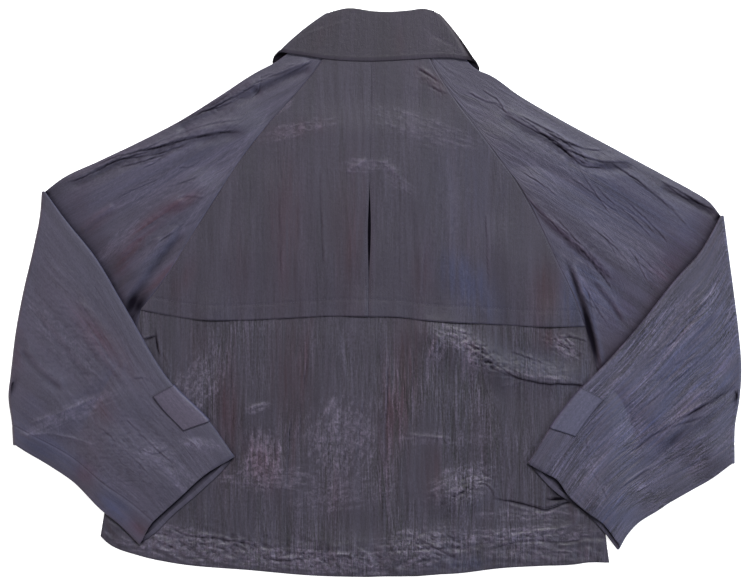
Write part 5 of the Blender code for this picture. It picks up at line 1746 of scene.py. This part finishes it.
def sleeve_front(sleeve):
    """Front half of a sleeve, between the overarm and underarm seams."""
    stations = sleeve.stations(2 * COARSE, FINE)
    seams = sleeve.seam_shares(stations)[:, None]
    v = seams + (1.0 - 2.0 * seams) * shares(LOWER_WIDTH, FINE)
    base = sleeve.layer_points("front", stations, v)
    grain, lift, zones = sleeve.dressed(base, stations, v, np.ones(v.shape[1], bool))
    hand = sleeve.side["hand"]
    cloth = Cloth(
        "sleeve_front_" + sleeve.name, "sleeve_cloth", base, grain, lift, zones,
        crinkle=sleeve.pleats("lower", base, grain),
        seams=["first_row", "last_column"], rims=["last_row"], flip=hand < 0,
    )
    rows = [
        row_at(cloth, "first_column", SEAM_STITCH),
        row_at(cloth, "last_column", SEAM_STITCH),
        row_at(cloth, "last_row", CUFF_STITCH),
    ]
    sewn = stitches(f"sleeve_{sleeve.name}_stitches", rows)


def sleeve_tab(sleeve):
    """Tab from the overarm seam round the inner edge, on the sleeve's points moved out."""
    start = sleeve.side["tab_start"]
    end = start + TAB_LENGTH / sleeve.inner.length
    stations = [("lower", s) for s in start + (end - start) * shares(TAB_LENGTH, FINE / 2)]
    strip = sleeve.seam_shares(stations)[:, None] * TAB_STRIP_SHARES
    skew = TAB_SKEW / sleeve.inner.length * TAB_STRIP_SHARES
    turn = EDGE_ANGLES[:2:-1]
    base = np.concatenate([
        sleeve.layer_points("front", [(stage, share - skew) for stage, share in stations], strip),
        sleeve.round_edge(stations, 0.0, turn),
    ], axis=1)
    if sleeve.side["hand"] > 0:
        base = base[:, ::-1]
    base = base + grid_normals(base) * TAB_LIFT
    grain = np.stack([run_lengths(base, 1), run_lengths(base, 0)], axis=-1)
    lift = TAB_CRINKLE * crinkle_heights("collar", grain, SEEDS["tab"])
    # Each tab's red, blue and painted highlight, and painted shade along its edges
    zones = np.tile(TAB_ZONES[sleeve.name], lift.shape + (1,))
    from_edge = np.min(edge_distances(base), axis=0)
    zones[..., SHADE_ZONE] = TAB_EDGE["shade"] * bell(from_edge, TAB_EDGE["reach"])
    cloth = Cloth(
        "sleeve_tab_" + sleeve.name, "tab_cloth", base, grain, lift, zones, crinkle=PLEATS["tab"],
        rims=["first_row", "last_row", "last_column" if sleeve.side["hand"] > 0 else "first_column"],
    )
    rows = [row_at(cloth, side, SEAM_STITCH) for side in ("first_row", "last_row")]
    sewn = stitches(f"tab_{sleeve.name}_stitches", rows)


def collar_stations():
    """Stations from one front end to the other.

    Each has the fold line, the neck seam, the leaf's edge, the direction out at the turns, the angle and the
    bulge.
    """
    left, right = SIDES["left"], SIDES["right"]

    def outward(side):
        slope = unit(np.array(side["collar_bottom"], float) - side["collar_top"])
        return side["hand"] * np.array([-slope[1], slope[0]])

    def bulge(side):
        return outward(side) * COLLAR_BULGE

    def front_end(side):
        corner = np.array(FOLD_CENTRE_FRONT, float) + [side["hand"] * FRONT_END_GAP, 0]
        fold = edge(corner, side["fold_front"][::-1], side["collar_top"])
        foot = (corner[0], FRONT_NECK_DEPTH + NECK_SEAM_RISE)
        seam = chain(
            edge(foot, side["front_neck"][::-1], side["front_raglan_top"]),
            edge(side["front_raglan_top"], [], side["neck_side"]),
        )
        leaf = edge(side["collar_point"], side["leaf_front_edge"][::-1], side["collar_bottom"])
        return [
            (fold(s), seam(s), leaf(s), np.zeros(2), 0.0, bulge(side) * s ** 3)
            for s in COLLAR_FRONT_SHARES
        ]

    def turn(side):
        top, foot, corner, neck = (
            np.array(side[key], float) for key in ("collar_top", "collar_bottom", "leaf_corner", "neck_side")
        )
        return [
            (top, neck, foot + (corner - foot) * s, outward(side), math.pi * s, bulge(side))
            for s in COLLAR_TURN_SHARES
        ]

    neck_centre = CENTRE_BACK[0]
    fold_back = edge(left["collar_top"], FOLD_BACK, right["collar_top"])
    seam_back = chain(
        chain(edge(left["neck_side"], [], left["raglan_top"]), edge(left["raglan_top"], [], neck_centre)),
        chain(edge(neck_centre, [], right["raglan_top"]), edge(right["raglan_top"], [], right["neck_side"])),
    )
    leaf_back = edge(left["leaf_corner"], LEAF_EDGE_BACK, right["leaf_corner"])
    on_back = []
    for s in shares(COLLAR_LENGTH, FINE):
        ends = np.exp(-np.array([s, 1.0 - s]) * COLLAR_LENGTH / COLLAR_BULGE_FADE)
        here = bulge(left) * ends[0] + bulge(right) * ends[1]
        on_back.append((fold_back(s), seam_back(s), leaf_back(s), np.zeros(2), math.pi, here))
    return front_end(left) + turn(left) + on_back + turn(right)[::-1] + front_end(right)[::-1]


def ring_point(plan, outward, angle, front_height, back_height_here):
    """A point of a flattened ring with half-round turns between its front and its back."""
    radius = (back_height_here - front_height) / 2
    place = plan + outward * radius * math.sin(angle)
    return np.array([*place, front_height + radius * (1.0 - math.cos(angle))])


COLLAR_LENGTH = 240
COLLAR_BULGE = 3         # of the leaf's ends, which the solids don't have
COLLAR_BULGE_FADE = 18
COLLAR_BOW_SHARE = 0.1   # share of the leaf below the fold over which its turns take up their full bow
COLLAR_FRONT_SHARES = np.linspace(0.0, 1.0, 16)
COLLAR_TURN_SHARES = np.linspace(0.0, 1.0, 12)[1:-1]
LEAF_CELLS = np.linspace(0.0, 1.0, 45)
STAND_CELLS = np.linspace(0.0, 1.0, 8)
ROLL_ANGLES = np.linspace(0.1, math.pi, 9)[:-1]
ON_BACK = {"height": 5.5, "fade": 1.2}    # height from which the collar lies on the back
HIDDEN_ZONES = 0.3       # share of the zones that stays on the hidden front
# painted shade in the turns at the collar's ends, and along the leaf's stitching
COLLAR_ENDS = {"from": 92, "fade": 14, "shade": 0.9}
LEAF_STITCH_SHADE = 0.3


def collar():
    """Stand from the neck seam to the fold line, and the leaf that rolls over its top."""
    stand_rows = []
    leaf_rows = []
    for fold, seam, leaf_edge, outward, angle, bulge_here in collar_stations():
        up = unit(fold - leaf_edge)

        def stand_at(plan, bow=1.0):
            return ring_point(plan, outward * bow, angle, STAND_FRONT_HEIGHT, STAND_BACK_HEIGHT)

        def leaf_at(plan, bow=1.0):
            return ring_point(plan, outward * bow, angle, FLOOR, LEAF_BACK_HEIGHT)

        seam_run = unit(fold - seam)
        stand_top = fold - seam_run * STAND_TOP_GAP
        stand_foot = seam + seam_run * WALL
        stand_rows.append([stand_at(stand_foot + (stand_top - stand_foot) * s) for s in STAND_CELLS])
        inner, outer = stand_at(fold, 0.0), leaf_at(fold, 0.0)
        middle, half = (inner + outer) / 2, (outer - inner) / 2
        bulge = np.array([*up, 0.0]) * np.linalg.norm(half)
        roll = [middle - half * math.cos(a) + bulge * math.sin(a) for a in ROLL_ANGLES]
        leaf = [fold + (leaf_edge - fold) * s + bulge_here * 4.0 * s * (1.0 - s) for s in LEAF_CELLS]
        bows = smooth(LEAF_CELLS / COLLAR_BOW_SHARE)
        leaf_rows.append(roll + [leaf_at(plan, bow) for plan, bow in zip(leaf, bows)])
    for node, rows, rims in (("collar_stand", stand_rows, []), ("collar_leaf", leaf_rows, ["last_column"])):
        base = np.array(rows)
        plan = base[..., :2]
        on_back = smooth((base[..., 2] - ON_BACK["height"]) / ON_BACK["fade"])
        height, zones = creased("collar", plan, plan, SEEDS["collar"])
        lift = on_back * (crinkle_heights("collar", plan, SEEDS["collar_crinkle"]) + height)
        zones = zones * (HIDDEN_ZONES + (1.0 - HIDDEN_ZONES) * on_back[..., None])
        # Painted shade in the turns at the collar's ends and along the leaf's stitching
        at_ends = smooth((np.abs(plan[..., 0]) - COLLAR_ENDS["from"]) / COLLAR_ENDS["fade"])
        deepen(zones, COLLAR_ENDS["shade"] * (1.0 - on_back) * at_ends)
        from_stitches = edge_distances(base)[3] - LEAF_STITCH
        deepen(zones, LEAF_STITCH_SHADE * bell(from_stitches, SEWN_DIPS["leaf"][1]))
        lift = lift + sewn_dip("leaf", from_stitches)
        cloth = Cloth(node, "collar_cloth", base, plan, lift, zones, crinkle=PLEATS["collar"], rims=rims)
        sewn = []
        if node == "collar_leaf":
            sewn = [stitches("collar_stitches", [row_at(cloth, "last_column", LEAF_STITCH)])]


# Stage, light and camera
CAMERA = {"x": 0.12, "y": -0.5, "height": 2500, "width": 900}    # what the frame's long side covers
SENSOR = 36
FLOOR_SIZE = 12
FLOOR_DROP = 0.0002      # of the pale floor below the part, in metres
FLOOR_LOOK = {
    "Base Color": (0.9, 0.9, 0.9, 1.0), "Roughness": 0.9,
    "Emission Color": (1.0, 1.0, 1.0, 1.0), "Emission Strength": 0.8,
}
LIGHTS = {
    "key": {"place": (1.0, 3.6, 4.2), "size": 2.0, "power": 365, "colour": (0.98, 0.99, 1.0)},
    "fill": {"place": (4.2, -1.2, 3.2), "size": 2.4, "power": 125, "colour": (0.86, 0.93, 1.0)},
    "soft": {"place": (-4.0, -0.6, 3.4), "size": 2.4, "power": 60, "colour": (1.0, 0.95, 0.92)},
}
WORLD_STRENGTH = 0.2


def stage():
    """Pale floor, soft studio light and the camera straight above."""
    mesh = bpy.data.meshes.new("floor")
    half = FLOOR_SIZE / 2
    corners = [(-half, -half, 0), (half, -half, 0), (half, half, 0), (-half, half, 0)]
    mesh.from_pydata(corners, [], [(0, 1, 2, 3)])
    floor = linked("floor", mesh)
    floor.location = (0, 0, -FLOOR_DROP)
    nodes = Nodes("floor")
    nodes.set(nodes.shader, FLOOR_LOOK)
    mesh.materials.append(nodes.material)
    for name, row in LIGHTS.items():
        light = bpy.data.lights.new(name, "AREA")
        light.shape = "SQUARE"
        light.size = row["size"]
        light.energy = row["power"]
        light.color = row["colour"]
        lamp = linked(name, light)
        lamp.location = row["place"]
        x, y, z = row["place"]
        lamp.rotation_euler = (math.atan2(math.hypot(x, y), z), 0, math.atan2(x, -y))
    scene = bpy.context.scene
    scene.world = bpy.data.worlds.new("studio")
    scene.world.use_nodes = True
    background = scene.world.node_tree.nodes["Background"]
    background.inputs["Color"].default_value = (1.0, 1.0, 1.0, 1.0)
    background.inputs["Strength"].default_value = WORLD_STRENGTH
    view = bpy.data.cameras.new("camera")
    view.sensor_width = SENSOR
    view.lens = SENSOR * CAMERA["height"] / CAMERA["width"]
    scene.camera = linked("camera", view)
    scene.camera.location = (CAMERA["x"] * MM, CAMERA["y"] * MM, CAMERA["height"] * MM)
    scene.view_settings.view_transform = "Standard"


stage()
back()
for side_name in SIDES:
    front(side_name)
    cape(side_name)
    arm = Sleeve(side_name)
    sleeve_back(arm)
    sleeve_front(arm)
    sleeve_tab(arm)
collar()
